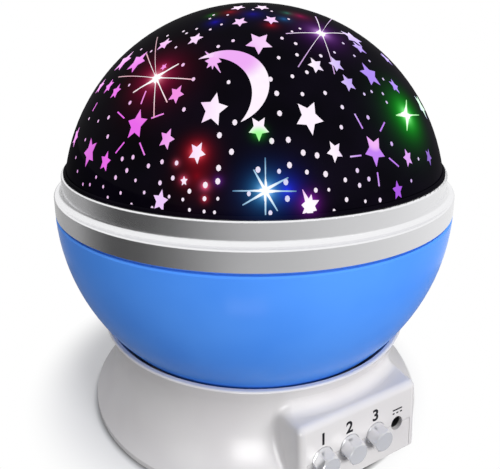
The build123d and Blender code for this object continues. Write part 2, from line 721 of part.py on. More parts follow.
def power_socket():
    """Round power socket behind the panel, with its contact pin."""
    half = JACK_WIDTH / 2
    nose_y = panel_y(CONTROL_Z, SHELL_WALL) - SHELL_WALL / 2
    front_y = FLANGE_Y
    body = block(JACK_X - half, JACK_X + half, front_y, -BOARD_DISTANCE, CONTROL_Z - half, CONTROL_Z + half)
    body += rod_y(JACK_HOLE_RADIUS - RUNNING_GAP, nose_y, front_y + MARGIN, JACK_X, CONTROL_Z)
    bore_end = -BOARD_DISTANCE - MARGIN
    body -= rod_y(JACK_BORE_RADIUS, nose_y - MARGIN, bore_end, JACK_X, CONTROL_Z)
    return body + rod_y(JACK_PIN_RADIUS, front_y, bore_end + MARGIN / 2, JACK_X, CONTROL_Z)


def main_board():
    """Upright circuit board behind the panel."""
    half = BOARD_HALF_WIDTH - RUNNING_GAP
    return block(BOARD_X - half, BOARD_X + half, -BOARD_DISTANCE, BOARD_BACK_Y, BOARD_Z, BOARD_TOP_Z)


def board_chips():
    """Controller chip and two capacitors on the back of the board."""
    low = BOARD_Z + CHIP_RISE
    x_low = CHIP_X - CHIP_SIDE / 2
    chip_y = BOARD_BACK_Y + CHIP_THICKNESS
    chip = block(x_low, x_low + CHIP_SIDE, BOARD_BACK_Y, chip_y, low, low + CHIP_HEIGHT)
    middle = low + CAPACITOR_RADIUS
    end_y = BOARD_BACK_Y + CAPACITOR_LENGTH
    return [chip] + [rod_y(CAPACITOR_RADIUS, BOARD_BACK_Y, end_y, x, middle) for x in CAPACITOR_XS]


# ---------------------------------------------------------------- drive
def gear_outline(teeth, first_angle):
    """Closed involute outline of a spur gear, one tooth centred on first_angle."""
    pitch_radius = MODULE * teeth / 2
    base_radius = pitch_radius * math.cos(math.radians(PRESSURE_ANGLE))
    tip_radius = pitch_radius + MODULE
    root_radius = pitch_radius - TOOTH_ROOT * MODULE
    start_radius = max(base_radius, root_radius)

    def involute(radius):
        roll = math.sqrt(max((radius / base_radius) ** 2 - 1, 0))
        return roll - math.atan(roll)

    half_pitch_tooth = (math.pi * MODULE / 2 - BACKLASH) / (2 * pitch_radius)
    half_at_base = half_pitch_tooth + involute(pitch_radius)
    radii = [start_radius, (start_radius + pitch_radius) / 2, pitch_radius, tip_radius]
    flank = [(radius, half_at_base - involute(radius)) for radius in radii]
    if root_radius < start_radius:
        flank.insert(0, (root_radius, half_at_base))
    points = []
    for index in range(teeth):
        middle = math.radians(first_angle) + index * 2 * math.pi / teeth
        points += [(radius, middle - half) for radius, half in flank]
        points += [(radius, middle + half) for radius, half in reversed(flank)]
    return [(radius * math.cos(turn), radius * math.sin(turn)) for radius, turn in points]


def toothed_disc(teeth, first_angle, z_low, z_high):
    """Spur gear blank with its teeth."""
    places = [Vector(x, y, z_low) for x, y in gear_outline(teeth, first_angle)]
    return extrude(make_face(Polyline(*places, close=True)), z_high - z_low, dir=(0, 0, 1))


def spin_gear():
    """Ring gear and hub under the bowl; the hub turns in the deck."""
    gear = toothed_disc(GEAR_TEETH, -90, GEAR_Z, GEAR_TOP_Z)
    gear += rod(GEAR_HUB_RADIUS, GEAR_Z, BOWL_FLOOR_Z)
    rim_inner = MODULE * GEAR_TEETH / 2 - GEAR_RIM
    gear -= tube(rim_inner, GEAR_HUB_RADIUS + MARGIN, GEAR_Z - MARGIN, GEAR_Z + GEAR_FACE / 2)
    gear -= rod(COLUMN_HOLE_RADIUS, GEAR_Z - MARGIN, BOWL_FLOOR_Z + MARGIN)
    for x, y in around(GEAR_SCREW_CIRCLE, evenly(GEAR_SCREW_COUNT)):
        gear -= rod(SCREW_RADIUS + SCREW_HOLE_GAP, GEAR_Z - MARGIN, BOWL_FLOOR_Z + MARGIN, x, y)
        gear -= rod(SCREW_HEAD_RADIUS + SCREW_HOLE_GAP, GEAR_Z - MARGIN, GEAR_Z + GEAR_SCREW_SINK, x, y)
    return gear


def drive_pinion():
    """Pinion on the motor's shaft, a gap turned to the ring gear's tooth."""
    gap_angle = 90 + 180 / PINION_TEETH
    pinion = toothed_disc(PINION_TEETH, gap_angle, GEAR_Z, GEAR_TOP_Z)
    pinion = Pos(0, -CENTRE_DISTANCE, 0) * pinion
    return pinion - rod(MOTOR_SHAFT_RADIUS, GEAR_Z - MARGIN, GEAR_TOP_Z + MARGIN, 0, -CENTRE_DISTANCE)


def motor_shaft():
    """Output shaft of the gear motor."""
    return rod(MOTOR_SHAFT_RADIUS, MOTOR_TOP_Z - MOTOR_EAR, GEAR_TOP_Z, 0, -CENTRE_DISTANCE)


def gear_motor():
    """Flat round gear motor with two ears."""
    y = -CENTRE_DISTANCE
    body = rod(MOTOR_RADIUS, MOTOR_Z, MOTOR_TOP_Z, 0, y)
    ear_z = MOTOR_TOP_Z - MOTOR_EAR
    body += block(-MOTOR_EAR_X, MOTOR_EAR_X, y - MOTOR_EAR_RADIUS, y + MOTOR_EAR_RADIUS, ear_z, MOTOR_TOP_Z)
    for x, ear_y in motor_screw_places():
        body += rod(MOTOR_EAR_RADIUS, ear_z, MOTOR_TOP_Z, x, ear_y)
        body -= rod(SCREW_RADIUS + SCREW_HOLE_GAP, ear_z - MARGIN, MOTOR_TOP_Z + MARGIN, x, ear_y)
    shaft_end = ear_z - SLIP_GAP
    return body - rod(MOTOR_SHAFT_RADIUS + RUNNING_GAP, shaft_end, MOTOR_TOP_Z + MARGIN, 0, y)


# ---------------------------------------------------------------- lamp column
def light_column():
    """Hollow column with its two-armed foot and the lamp board's seat."""
    half_length = BRIDGE_SCREW_X
    half_width = BRIDGE_WIDTH / 2
    foot = block(-half_length, half_length, -half_width, half_width, BRIDGE_Z, BRIDGE_TOP_Z)
    for x, y in bridge_screw_places():
        foot += rod(half_width, BRIDGE_Z, BRIDGE_TOP_Z, x, y)
        foot -= rod(SCREW_RADIUS + SCREW_HOLE_GAP, BRIDGE_Z - MARGIN, BRIDGE_TOP_Z + MARGIN, x, y)
    column = foot + rod(COLUMN_RADIUS, BRIDGE_Z, LAMP_HEAD_Z)
    cone_low = LAMP_HEAD_Z - LAMP_HEAD_HEIGHT
    head = path((0, cone_low), (COLUMN_RADIUS, cone_low), (LAMP_BOARD_RADIUS, LAMP_HEAD_Z))
    head += path((LAMP_BOARD_RADIUS, LAMP_HEAD_Z), (LAMP_BOARD_RADIUS, LAMP_BOARD_Z))
    head += path((LAMP_BOARD_RADIUS, LAMP_BOARD_Z), (0, LAMP_BOARD_Z), (0, cone_low))
    column += turned(head)
    return column - rod(COLUMN_BORE_RADIUS, BRIDGE_Z - MARGIN, LAMP_BOARD_Z + MARGIN)


def lamp_board():
    """Round board that carries the four lamps."""
    return rod(LAMP_BOARD_RADIUS, LAMP_BOARD_Z, LAMP_BOARD_Z + BOARD_THICKNESS)


def led(x, y):
    """Round-topped 5 mm lamp with its flange."""
    base_z = LAMP_BOARD_Z + BOARD_THICKNESS
    top_z = base_z + LED_HEIGHT
    shoulder = top_z - LED_RADIUS
    flange_z = base_z + LED_FLANGE
    sides = path((0, base_z), (LED_FLANGE_RADIUS, base_z), (LED_FLANGE_RADIUS, flange_z))
    sides += path((LED_FLANGE_RADIUS, flange_z), (LED_RADIUS, flange_z), (LED_RADIUS, shoulder))
    bend = LED_RADIUS * math.sqrt(0.5)
    tip = Vector(0, 0, top_z)
    nose = ThreePointArc(Vector(LED_RADIUS, 0, shoulder), Vector(bend, 0, shoulder + bend), tip)
    return Pos(x, y, 0) * turned(sides + [nose] + path((0, top_z), (0, base_z)))


# ---------------------------------------------------------------- ball
def bowl():
    """Lower half of the ball, cut flat at the bottom, with a stepped neck."""
    inner = BOWL_RADIUS - BOWL_WALL
    neck_inner = NECK_RADIUS - NECK_WALL
    neck_root_z = BALL_CENTRE_Z - math.sqrt(inner**2 - neck_inner**2)
    edge_z = BOWL_RIM_Z - BOWL_RIM_EDGE
    edge_outer = sphere_radius_at(BOWL_RADIUS, edge_z)
    floor_outer = sphere_radius_at(BOWL_RADIUS, BOWL_FLOOR_Z)
    floor_inner = sphere_radius_at(inner, BOWL_FLOOR_TOP_Z)
    outline = path((COLUMN_HOLE_RADIUS, BOWL_FLOOR_Z), (floor_outer, BOWL_FLOOR_Z))
    outline.append(sphere_arc(BOWL_RADIUS, BOWL_FLOOR_Z, edge_z))
    outline += path((edge_outer, edge_z), (edge_outer - BOWL_RIM_EDGE, BOWL_RIM_Z))
    outline += path((edge_outer - BOWL_RIM_EDGE, BOWL_RIM_Z), (NECK_RADIUS, BOWL_RIM_Z))
    outline += path((NECK_RADIUS, BOWL_RIM_Z), (NECK_RADIUS, NECK_TOP_Z), (neck_inner, NECK_TOP_Z))
    outline += path((neck_inner, NECK_TOP_Z), (neck_inner, neck_root_z))
    outline.append(sphere_arc(inner, neck_root_z, BOWL_FLOOR_TOP_Z))
    outline += path((floor_inner, BOWL_FLOOR_TOP_Z), (COLUMN_HOLE_RADIUS, BOWL_FLOOR_TOP_Z))
    outline += path((COLUMN_HOLE_RADIUS, BOWL_FLOOR_TOP_Z), (COLUMN_HOLE_RADIUS, BOWL_FLOOR_Z))
    shell = turned(outline)
    screw_top = GEAR_Z + GEAR_SCREW_SINK + LONG_SCREW_BITE
    for x, y in around(GEAR_SCREW_CIRCLE, evenly(GEAR_SCREW_COUNT)):
        shell += rod(BOWL_BOSS_RADIUS, BOWL_FLOOR_Z, screw_top + MARGIN, x, y)
        shell -= rod(SCREW_RADIUS, BOWL_FLOOR_Z - MARGIN, screw_top, x, y)
    return shell - rod(COLUMN_HOLE_RADIUS, BOWL_FLOOR_Z - MARGIN, screw_top + 2 * MARGIN)


def trim_ring():
    """Two-step ring: skirt over the bowl's neck, shelf, and socket for the dome."""
    skirt_inner = NECK_RADIUS + NECK_GAP
    shelf_inner = SOCKET_RADIUS - RING_SHELF_WIDTH
    edge = RING_EDGE
    low_outer = path((skirt_inner, RING_Z), (RING_RADIUS - edge, RING_Z), (RING_RADIUS, RING_Z + edge))
    outline = low_outer + path((RING_RADIUS, RING_Z + edge), (RING_RADIUS, RING_LEDGE_Z - edge))
    outline += [rounded_edge(RING_RADIUS, RING_LEDGE_Z), ledge_curve()]
    outline += path((RING_UPPER_RADIUS, RING_UPPER_Z), (RING_UPPER_RADIUS, RING_TOP_Z - edge))
    outline.append(rounded_edge(RING_UPPER_RADIUS, RING_TOP_Z))
    outline += path((RING_UPPER_RADIUS - edge, RING_TOP_Z), (SOCKET_RADIUS, RING_TOP_Z))
    outline += path((SOCKET_RADIUS, RING_TOP_Z), (SOCKET_RADIUS, SHELF_TOP_Z), (shelf_inner, SHELF_TOP_Z))
    outline += path((shelf_inner, SHELF_TOP_Z), (shelf_inner, NECK_TOP_Z), (skirt_inner, NECK_TOP_Z))
    outline += path((skirt_inner, NECK_TOP_Z), (skirt_inner, RING_Z))
    return turned(outline)


def rounded_edge(radius, z):
    """Quarter round at the top of one of the ring's bands."""
    flat = RING_EDGE * (1 - math.sqrt(0.5))
    middle = Vector(radius - flat, 0, z - flat)
    return ThreePointArc(Vector(radius, 0, z - RING_EDGE), middle, Vector(radius - RING_EDGE, 0, z))


def ledge_curve():
    """Hollow curve from the ring's wide lower band to its narrower upper band."""
    outer = RING_RADIUS - RING_EDGE
    bend = math.sqrt(0.5)
    middle = Vector(outer - (outer - RING_UPPER_RADIUS) * bend, 0, RING_UPPER_Z - RING_LEDGE * bend)
    return ThreePointArc(Vector(outer, 0, RING_LEDGE_Z), middle, Vector(RING_UPPER_RADIUS, 0, RING_UPPER_Z))


def lamp_plate():
    """Plate over the bowl, with a collar round the lamp column's head."""
    outer = SOCKET_RADIUS - PLATE_GAP
    hole = LAMP_BOARD_RADIUS + PLATE_HOLE_GAP
    plate = tube(outer, hole, SHELF_TOP_Z, PLATE_TOP_Z)
    return plate + tube(hole + PLATE_COLLAR_WALL, hole, PLATE_TOP_Z - PLATE_COLLAR_HEIGHT, PLATE_TOP_Z)


def star_dome():
    """Upper half of the ball: dome, seating bead and the skirt that enters the ring."""
    inner = DOME_RADIUS - DOME_WALL
    skirt_inner = DOME_SKIRT_RADIUS - DOME_WALL
    skirt_low = PLATE_TOP_Z + SLIP_GAP
    inner_rim_z = BALL_CENTRE_Z + math.sqrt(inner**2 - skirt_inner**2)
    bead_z = RING_TOP_Z + RUNNING_GAP
    bead_top = bead_z + DOME_BEAD
    bead_root = sphere_radius_at(DOME_RADIUS, bead_top)
    outline = path((skirt_inner, skirt_low), (DOME_SKIRT_RADIUS, skirt_low), (DOME_SKIRT_RADIUS, bead_z))
    outline += path((DOME_SKIRT_RADIUS, bead_z), (SOCKET_RADIUS + DOME_GAP, bead_z))
    outline.append(
        ThreePointArc(
            Vector(SOCKET_RADIUS + DOME_GAP, 0, bead_z),
            Vector(SOCKET_RADIUS + DOME_GAP * math.sqrt(0.5), 0, bead_z + DOME_BEAD * math.sqrt(0.5)),
            Vector(bead_root, 0, bead_top),
        )
    )
    outline.append(crown_arc(DOME_RADIUS, bead_top))
    outline += path((0, BALL_CENTRE_Z + DOME_RADIUS), (0, BALL_CENTRE_Z + inner))
    outline.append(crown_arc(inner, inner_rim_z))
    outline += path((skirt_inner, inner_rim_z), (skirt_inner, skirt_low))
    return turned(outline)


def crown_arc(radius, z_low):
    """Ball-centred arc from height z_low to the crown."""
    start = math.asin((z_low - BALL_CENTRE_Z) / radius)
    middle = (start + math.pi / 2) / 2
    return ThreePointArc(
        Vector(radius * math.cos(start), 0, z_low),
        Vector(radius * math.cos(middle), 0, BALL_CENTRE_Z + radius * math.sin(middle)),
        Vector(0, 0, BALL_CENTRE_Z + radius),
    )


def thrust_washer():
    """Slippery washer between the deck's thrust ring and the bowl."""
    inner = GEAR_HUB_RADIUS + RUNNING_GAP
    return tube(inner + WASHER_WIDTH, inner, WASHER_Z, BOWL_FLOOR_Z - RUNNING_GAP / 2)


# ---------------------------------------------------------------- nodes
def build_nodes():
    """Every piece of the object by name."""
    nodes = {
        "base_housing": base_housing(),
        "bottom_cover": bottom_cover(),
        "battery_door": battery_door(),
        "door_screw": screw_up(0, DOOR_SCREW_Y, COVER_Z + SCREW_HEAD),
        "housing_screws": [
            screw_up(x, y, COVER_Z + SCREW_HEAD, LONG_SCREW_BITE) for x, y in housing_screw_places()
        ],
        "motor_screws": [screw_up(x, y, MOTOR_TOP_Z - MOTOR_EAR) for x, y in motor_screw_places()],
        "column_screws": [screw_up(x, y, BRIDGE_Z) for x, y in bridge_screw_places()],
        "gear_screws": [
            screw_up(x, y, GEAR_Z + GEAR_SCREW_SINK, LONG_SCREW_BITE)
            for x, y in around(GEAR_SCREW_CIRCLE, evenly(GEAR_SCREW_COUNT))
        ],
        "positive_contacts": contacts(True),
        "negative_contacts": contacts(False),
        "main_board": main_board(),
        "board_chips": board_chips(),
        "power_socket": power_socket(),
        "gear_motor": gear_motor(),
        "motor_shaft": motor_shaft(),
        "drive_pinion": drive_pinion(),
        "light_column": light_column(),
        "lamp_board": lamp_board(),
        "thrust_washer": thrust_washer(),
        "spin_gear": spin_gear(),
        "bowl": bowl(),
        "trim_ring": trim_ring(),
        "lamp_plate": lamp_plate(),
        "star_dome": star_dome(),
    }
    for number, x in enumerate(CONTROL_XS, start=1):
        nodes[f"button_{number}"] = button(x)
        nodes[f"switch_stem_{number}"] = switch_stem(x)
        nodes[f"push_switch_{number}"] = push_switch(x)
    for number in range(CELL_COUNT):
        nodes[f"battery_{number + 1}"] = battery(number)
    for number, (x, y) in enumerate(around(FOOT_CIRCLE, FOOT_ANGLES), start=1):
        nodes[f"rubber_foot_{number}"] = rubber_foot(x, y)
    for number, (x, y) in enumerate(around(LED_CIRCLE, evenly(LED_COUNT, 45)), start=1):
        nodes[f"led_{number}"] = led(x, y)
    return nodes


def solids_of(shape):
    """Flat list of the solids in a shape or a list of shapes."""
    shapes = shape if isinstance(shape, list) else [shape]
    return [solid for item in shapes for solid in item.solids()]


def main():
    """Write one STEP file for each piece."""
    os.makedirs("parts", exist_ok=True)
    for name, shape in build_nodes().items():
        export_step(Compound(children=solids_of(shape)), f"parts/{name}.step")


main()
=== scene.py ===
"""Dresses the star night light's frame and sets it in a plain studio.

Lengths are metres in the row frame, except where a name ends in _mm, _px or _deg.
"""
import json
import logging
import math
from dataclasses import dataclass, field
from enum import Enum
from typing import Any, Optional, Sequence

import bpy
import numpy as np
from mathutils import Matrix, Vector


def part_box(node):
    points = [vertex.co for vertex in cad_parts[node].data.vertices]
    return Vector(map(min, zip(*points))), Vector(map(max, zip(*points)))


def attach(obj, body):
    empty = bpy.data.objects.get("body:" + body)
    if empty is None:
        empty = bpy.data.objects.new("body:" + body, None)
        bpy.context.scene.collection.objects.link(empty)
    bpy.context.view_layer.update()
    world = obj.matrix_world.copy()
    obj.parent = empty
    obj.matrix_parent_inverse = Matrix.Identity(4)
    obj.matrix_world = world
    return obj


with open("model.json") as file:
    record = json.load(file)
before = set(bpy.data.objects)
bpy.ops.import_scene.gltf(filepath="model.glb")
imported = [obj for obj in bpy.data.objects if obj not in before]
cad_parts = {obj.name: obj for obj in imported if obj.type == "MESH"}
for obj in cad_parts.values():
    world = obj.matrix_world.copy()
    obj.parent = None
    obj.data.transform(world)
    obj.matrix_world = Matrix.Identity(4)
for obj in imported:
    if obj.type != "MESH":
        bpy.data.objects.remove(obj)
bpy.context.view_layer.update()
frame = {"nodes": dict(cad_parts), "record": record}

LOG = logging.getLogger("night_light")
MM = 0.001
SHARP_DEG = 40.0
NOISE_SPAN = (0.33, 0.67)
UNLIT_CLEAR = "#1a141e"
NEVER_ZERO = 1e-9

Array = np.ndarray
Rgba = tuple[float, float, float, float]
Socket = Any
Pixel = tuple[float, float]


class Slot(str, Enum):
    """Material slots of the record."""

    WHITE_SHELL = "white_shell"
    BUTTON = "button_plastic"
    RING = "ring_plastic"
    PLATE = "plate_plastic"
    COLUMN = "column_plastic"
    BLUE = "blue_plastic"
    DOME = "dome_plastic"
    GEAR = "gear_plastic"
    STEEL = "steel"
    CONTACT = "contact_metal"
    BOARD = "board"
    BLACK = "black_parts"
    STEM = "stem_plastic"
    MOTOR = "motor_metal"
    CELL = "cell_wrap"
    RUBBER = "rubber_grey"
    LED_WHITE = "led_white"
    LED_RED = "led_red"
    LED_GREEN = "led_green"
    LED_BLUE = "led_blue"


# ---------------------------------------------------------------- colour and nodes
def linear(code: str) -> Rgba:
    """Turn an sRGB hex colour into linear light.

    Args:
        code: Colour as six hex digits after a hash.

    Returns:
        Red, green, blue and an alpha of one.
    """
    values = [int(code[start:start + 2], 16) / 255 for start in (1, 3, 5)]
    light = [v / 12.92 if v <= 0.04045 else ((v + 0.055) / 1.055) ** 2.4 for v in values]
    return light[0], light[1], light[2], 1.0


def add_node(tree: bpy.types.NodeTree, kind: str, settings: Optional[dict] = None,
             links: Optional[dict] = None) -> bpy.types.Node:
    """Add one shader node with its settings and links.

    Attributes are set before sockets, since some of them change which sockets there are.

    Args:
        tree: Node tree that gets the node.
        kind: Node type without the ShaderNode prefix.
        settings: Values by attribute name, socket name or socket number.
        links: Output sockets by the name or number of the input that takes them.

    Returns:
        The new node.
    """
    node = tree.nodes.new("ShaderNode" + kind)
    for key, value in (settings or {}).items():
        if isinstance(key, str) and key not in node.inputs:
            setattr(node, key, value)
    for key, value in (settings or {}).items():
        if isinstance(key, int) or key in node.inputs:
            node.inputs[key].default_value = value
    for key, socket in (links or {}).items():
        tree.links.new(socket, node.inputs[key])
    return node


class Paint:
    """A material that is being put together, with its object coordinates in metres."""

    def __init__(self, name: str) -> None:
        """Start an empty material of that name."""
        self.material = bpy.data.materials.new(name)
        self.material.use_nodes = True
        self.tree = self.material.node_tree
        self.tree.nodes.clear()
        self.place: Socket = add_node(self.tree, "TexCoord").outputs["Object"]

    def blotches(self, size_mm: float, low: float, high: float, detail: float = 2.0,
                 place: Optional[Socket] = None) -> Socket:
        """Soft blotches of a real size, spread between two values.

        Args:
            size_mm: Size of a blotch.
            low: Value in the darkest blotches.
            high: Value in the brightest ones.
            detail: Octaves of finer noise.
            place: Coordinates in metres, the object's own where left out.

        Returns:
            The grey output.
        """
        settings = {"Scale": 1 / (size_mm * MM), "Detail": detail}
        grey = add_node(self.tree, "TexNoise", settings, {"Vector": place or self.place})
        ends = {1: NOISE_SPAN[0], 2: NOISE_SPAN[1], 3: low, 4: high}
        return add_node(self.tree, "MapRange", ends, {0: grey.outputs[0]}).outputs[0]

    def two_tone(self, first: str, second: str, size_mm: float, most: float = 1.0,
                 detail: float = 2.0) -> Socket:
        """One colour clouded with soft blotches of another.

        Args:
            first: Main colour.
            second: Colour of the blotches.
            size_mm: Size of a blotch.
            most: Share of the second colour in the middle of a blotch.
            detail: Octaves of finer noise.

        Returns:
            The colour output.
        """
        colours = {"data_type": "RGBA", 6: linear(first), 7: linear(second)}
        share = self.blotches(size_mm, 0.0, most, detail)
        return add_node(self.tree, "Mix", colours, {0: share}).outputs[2]

    def relief(self, size_mm: float, depth_mm: float) -> Socket:
        """Fine relief of a real grain size and depth.

        Args:
            size_mm: Size of a grain.
            depth_mm: Height of the grains.

        Returns:
            The normal output.
        """
        grain = self.blotches(size_mm, 0.0, 1.0)
        return add_node(self.tree, "Bump", {"Distance": depth_mm * MM},
                        {"Height": grain}).outputs["Normal"]

    def aim(self, centre_z: float) -> Socket:
        """Unit direction from a point on the Z axis to the surface.

        Args:
            centre_z: Height of that point.

        Returns:
            The vector output.
        """
        offset = add_node(self.tree, "VectorMath", {"operation": "SUBTRACT",
                                                    1: (0.0, 0.0, centre_z)}, {0: self.place})
        return add_node(self.tree, "VectorMath", {"operation": "NORMALIZE"},
                        {0: offset.outputs[0]}).outputs[0]

    def near(self, aim: Socket, centre: Array, reach: float, core: float = 0.0) -> Socket:
        """Soft round patch about a direction, 1 in its core and 0 past its reach.

        Args:
            aim: Unit direction of the surface.
            centre: Unit direction of the patch.
            reach: Angle at which it ends, in radians.
            core: Angle at which it starts to fall, in radians.

        Returns:
            The grey output.
        """
        straight = add_node(self.tree, "VectorMath", {"operation": "DOT_PRODUCT",
                                                      1: tuple(centre)}, {0: aim})
        ends = {"interpolation_type": "SMOOTHSTEP", 1: math.cos(reach), 2: math.cos(core)}
        return add_node(self.tree, "MapRange", ends, {0: straight.outputs["Value"]}).outputs[0]

    def halo(self, aim: Socket, centre: Array, fade: float) -> Socket:
        """Halo about a direction: exp(-angle / fade), so 1 in its middle.

        Args:
            aim: Unit direction of the surface.
            centre: Unit direction of the halo.
            fade: Angle over which it falls by e, in radians.

        Returns:
            The grey output.
        """
        grey = add_node(self.tree, "VectorMath", {"operation": "DOT_PRODUCT",
                                                  1: tuple(centre)}, {0: aim}).outputs["Value"]
        for settings in ({"operation": "MINIMUM", 1: 1.0}, {"operation": "ARCCOSINE"},
                         {"operation": "MULTIPLY", 1: -1 / fade}, {"operation": "EXPONENT"}):
            grey = add_node(self.tree, "Math", settings, {0: grey}).outputs[0]
        return grey

    def finish(self, settings: dict, links: dict) -> bpy.types.Material:
        """Close the material with one Principled shader.

        Args:
            settings: Settings of the shader.
            links: Links of the shader.

        Returns:
            The finished material.
        """
        shader = add_node(self.tree, "BsdfPrincipled", settings, links)
        add_node(self.tree, "OutputMaterial", None, {"Surface": shader.outputs[0]})
        return self.material

    def shine(self, settings: Optional[dict], links: Optional[dict]) -> bpy.types.Material:
        """Close the material as a plain light.

        Args:
            settings: Settings of the light.
            links: Links of the light.

        Returns:
            The finished material.
        """
        light = add_node(self.tree, "Emission", settings, links)
        add_node(self.tree, "OutputMaterial", None, {"Surface": light.outputs[0]})
        return self.material

    def glow(self, light: Socket, level: float = 1.0) -> bpy.types.Material:
        """Close the material as clear polystyrene that is filled with light.

        Args:
            light: Colour of the light.
            level: Strength of the light.

        Returns:
            The finished material.
        """
        settings = {"Base Color": linear(UNLIT_CLEAR), "IOR": 1.59, "Specular IOR Level": 0.2,
                    "Roughness": 0.2, "Emission Strength": level}
        return self.finish(settings, {"Emission Color": light})


# ---------------------------------------------------------------- finishes
@dataclass(frozen=True)
class MouldedPlastic:
    """Injection-moulded plastic: even colour with faint flow clouds, glossy or satin from its
    mould, and a trace of ripple that keeps its reflections from being perfect."""

    name: str
    colour: str
    cloud: str
    roughness: float
    ior: float = 1.53
    specular: float = 0.5
    coat: float = 0.0
    metallic: float = 0.0
    cloud_mm: float = 22.0
    grain_mm: float = 1.6
    grain_depth_mm: float = 0.003
    smooth: float = 0.93
    dull: float = 1.08

    def build(self) -> bpy.types.Material:
        """Make the material.

        Returns:
            The finished material.
        """
        paint = Paint(self.name)
        base = paint.two_tone(self.colour, self.cloud, self.cloud_mm)
        rough = paint.blotches(self.cloud_mm / 2, self.roughness * self.smooth,
                               self.roughness * self.dull)
        relief = paint.relief(self.grain_mm, self.grain_depth_mm)
        settings = {"IOR": self.ior, "Specular IOR Level": self.specular,
                    "Metallic": self.metallic, "Coat Weight": self.coat,
                    "Coat Roughness": self.roughness}
        return paint.finish(settings, {"Base Color": base, "Roughness": rough, "Normal": relief})


@dataclass(frozen=True)
class DrawnMetal:
    """Zinc or nickel-plated steel: fine lines along Z from drawing or turning, and duller
    patches where the plating has gone cloudy."""

    name: str
    colour: str
    dull: str
    roughness: float
    line_mm: float = 0.25
    patch_mm: float = 2.5
    along: float = 0.08
    bright: float = 0.7
    worn: float = 1.4

    def build(self) -> bpy.types.Material:
        """Make the material.

        Returns:
            The finished material.
        """
        paint = Paint(self.name)
        drawn = add_node(paint.tree, "Mapping", {"Scale": (1.0, 1.0, self.along)},
                         {"Vector": paint.place}).outputs[0]
        base = paint.two_tone(self.colour, self.dull, self.patch_mm, detail=4.0)
        rough = paint.blotches(self.line_mm, self.roughness * self.bright,
                               self.roughness * self.worn, 3.0, drawn)
        return paint.finish({"Metallic": 1.0}, {"Base Color": base, "Roughness": rough})


@dataclass(frozen=True)
class SolderMask:
    """Green circuit board: glossy mask over copper tracks, which show as lighter lines."""

    name: str = "solder_mask_board"
    mask: str = "#0c5a30"
    track: str = "#2f8a4e"
    pitch_mm: float = 2.54
    track_mm: float = 0.35
    track_height_mm: float = 0.03
    haze_mm: float = 4.0
    roughness: tuple[float, float] = (0.22, 0.34)

    def build(self) -> bpy.types.Material:
        """Make the material.

        Returns:
            The finished material.
        """
        paint = Paint(self.name)
        pitch = self.pitch_mm * MM
        settings = {"Scale": 1.0, "Mortar Size": self.track_mm * MM / 2, "Brick Width": pitch * 3,
                    "Row Height": pitch, "Color1": linear(self.mask), "Color2": linear(self.mask),
                    "Mortar": linear(self.track)}
        tracks = add_node(paint.tree, "TexBrick", settings, {"Vector": paint.place})
        raised = add_node(paint.tree, "Bump", {"Distance": self.track_height_mm * MM},
                          {"Height": tracks.outputs["Fac"]})
        links = {"Base Color": tracks.outputs["Color"], "Normal": raised.outputs[0],
                 "Roughness": paint.blotches(self.haze_mm, *self.roughness)}
        return paint.finish({"IOR": 1.5}, links)


@dataclass(frozen=True)
class ShrunkSleeve:
    """Shrunk film sleeve of a dry cell: glossy, dark, with a copper band at the positive end."""

    name: str
    band_start: float
    band_end: float
    body: str = "#24272c"
    band: str = "#b36a35"
    wrinkle_mm: float = 6.0
    wrinkle_depth_mm: float = 0.02
    haze_mm: float = 3.0
    roughness: tuple[float, float] = (0.18, 0.3)

    def build(self) -> bpy.types.Material:
        """Make the material.

        Returns:
            The finished material.
        """
        paint = Paint(self.name)
        along = add_node(paint.tree, "SeparateXYZ", None, {0: paint.place}).outputs["Y"]
        step = add_node(paint.tree, "MapRange", {1: self.band_start, 2: self.band_end},
                        {0: along}).outputs[0]
        colours = {"data_type": "RGBA", 6: linear(self.body), 7: linear(self.band)}
        base = add_node(paint.tree, "Mix", colours, {0: step}).outputs[2]
        relief = paint.relief(self.wrinkle_mm, self.wrinkle_depth_mm)
        rough = paint.blotches(self.haze_mm, *self.roughness)
        return paint.finish({"IOR": 1.5}, {"Base Color": base, "Normal": relief,
                                           "Roughness": rough})


@dataclass(frozen=True)
class LampEpoxy:
    """Cast epoxy of a 5 mm lamp: clear or tinted, lit from its chip, with a few faint swirls."""

    name: str
    tint: str
    light: str
    strength: float = 0.8
    clear: float = 0.7
    swirl_mm: float = 1.2
    roughness: tuple[float, float] = (0.04, 0.12)

    def build(self) -> bpy.types.Material:
        """Make the material.

        Returns:
            The finished material.
        """
        paint = Paint(self.name)
        settings = {"Base Color": linear(self.tint), "IOR": 1.54,
                    "Transmission Weight": self.clear, "Emission Color": linear(self.light),
                    "Emission Strength": self.strength}
        rough = paint.blotches(self.swirl_mm, *self.roughness)
        return paint.finish(settings, {"Roughness": rough})


@dataclass(frozen=True)
class PrintedInk:
    """Pad-printed ink: matt, nearly black, a little thin where the pad lifted."""

    name: str = "pad_printed_ink"
    colour: str = "#0e0e11"
    thin: str = "#1e1e24"
    thin_mm: float = 0.5
    roughness: float = 0.55
    specular: float = 0.12

    def build(self) -> bpy.types.Material:
        """Make the material.

        Returns:
            The finished material.
        """
        paint = Paint(self.name)
        base = paint.two_tone(self.colour, self.thin, self.thin_mm)
        settings = {"Roughness": self.roughness, "IOR": 1.5, "Specular IOR Level": self.specular}
        return paint.finish(settings, {"Base Color": base})


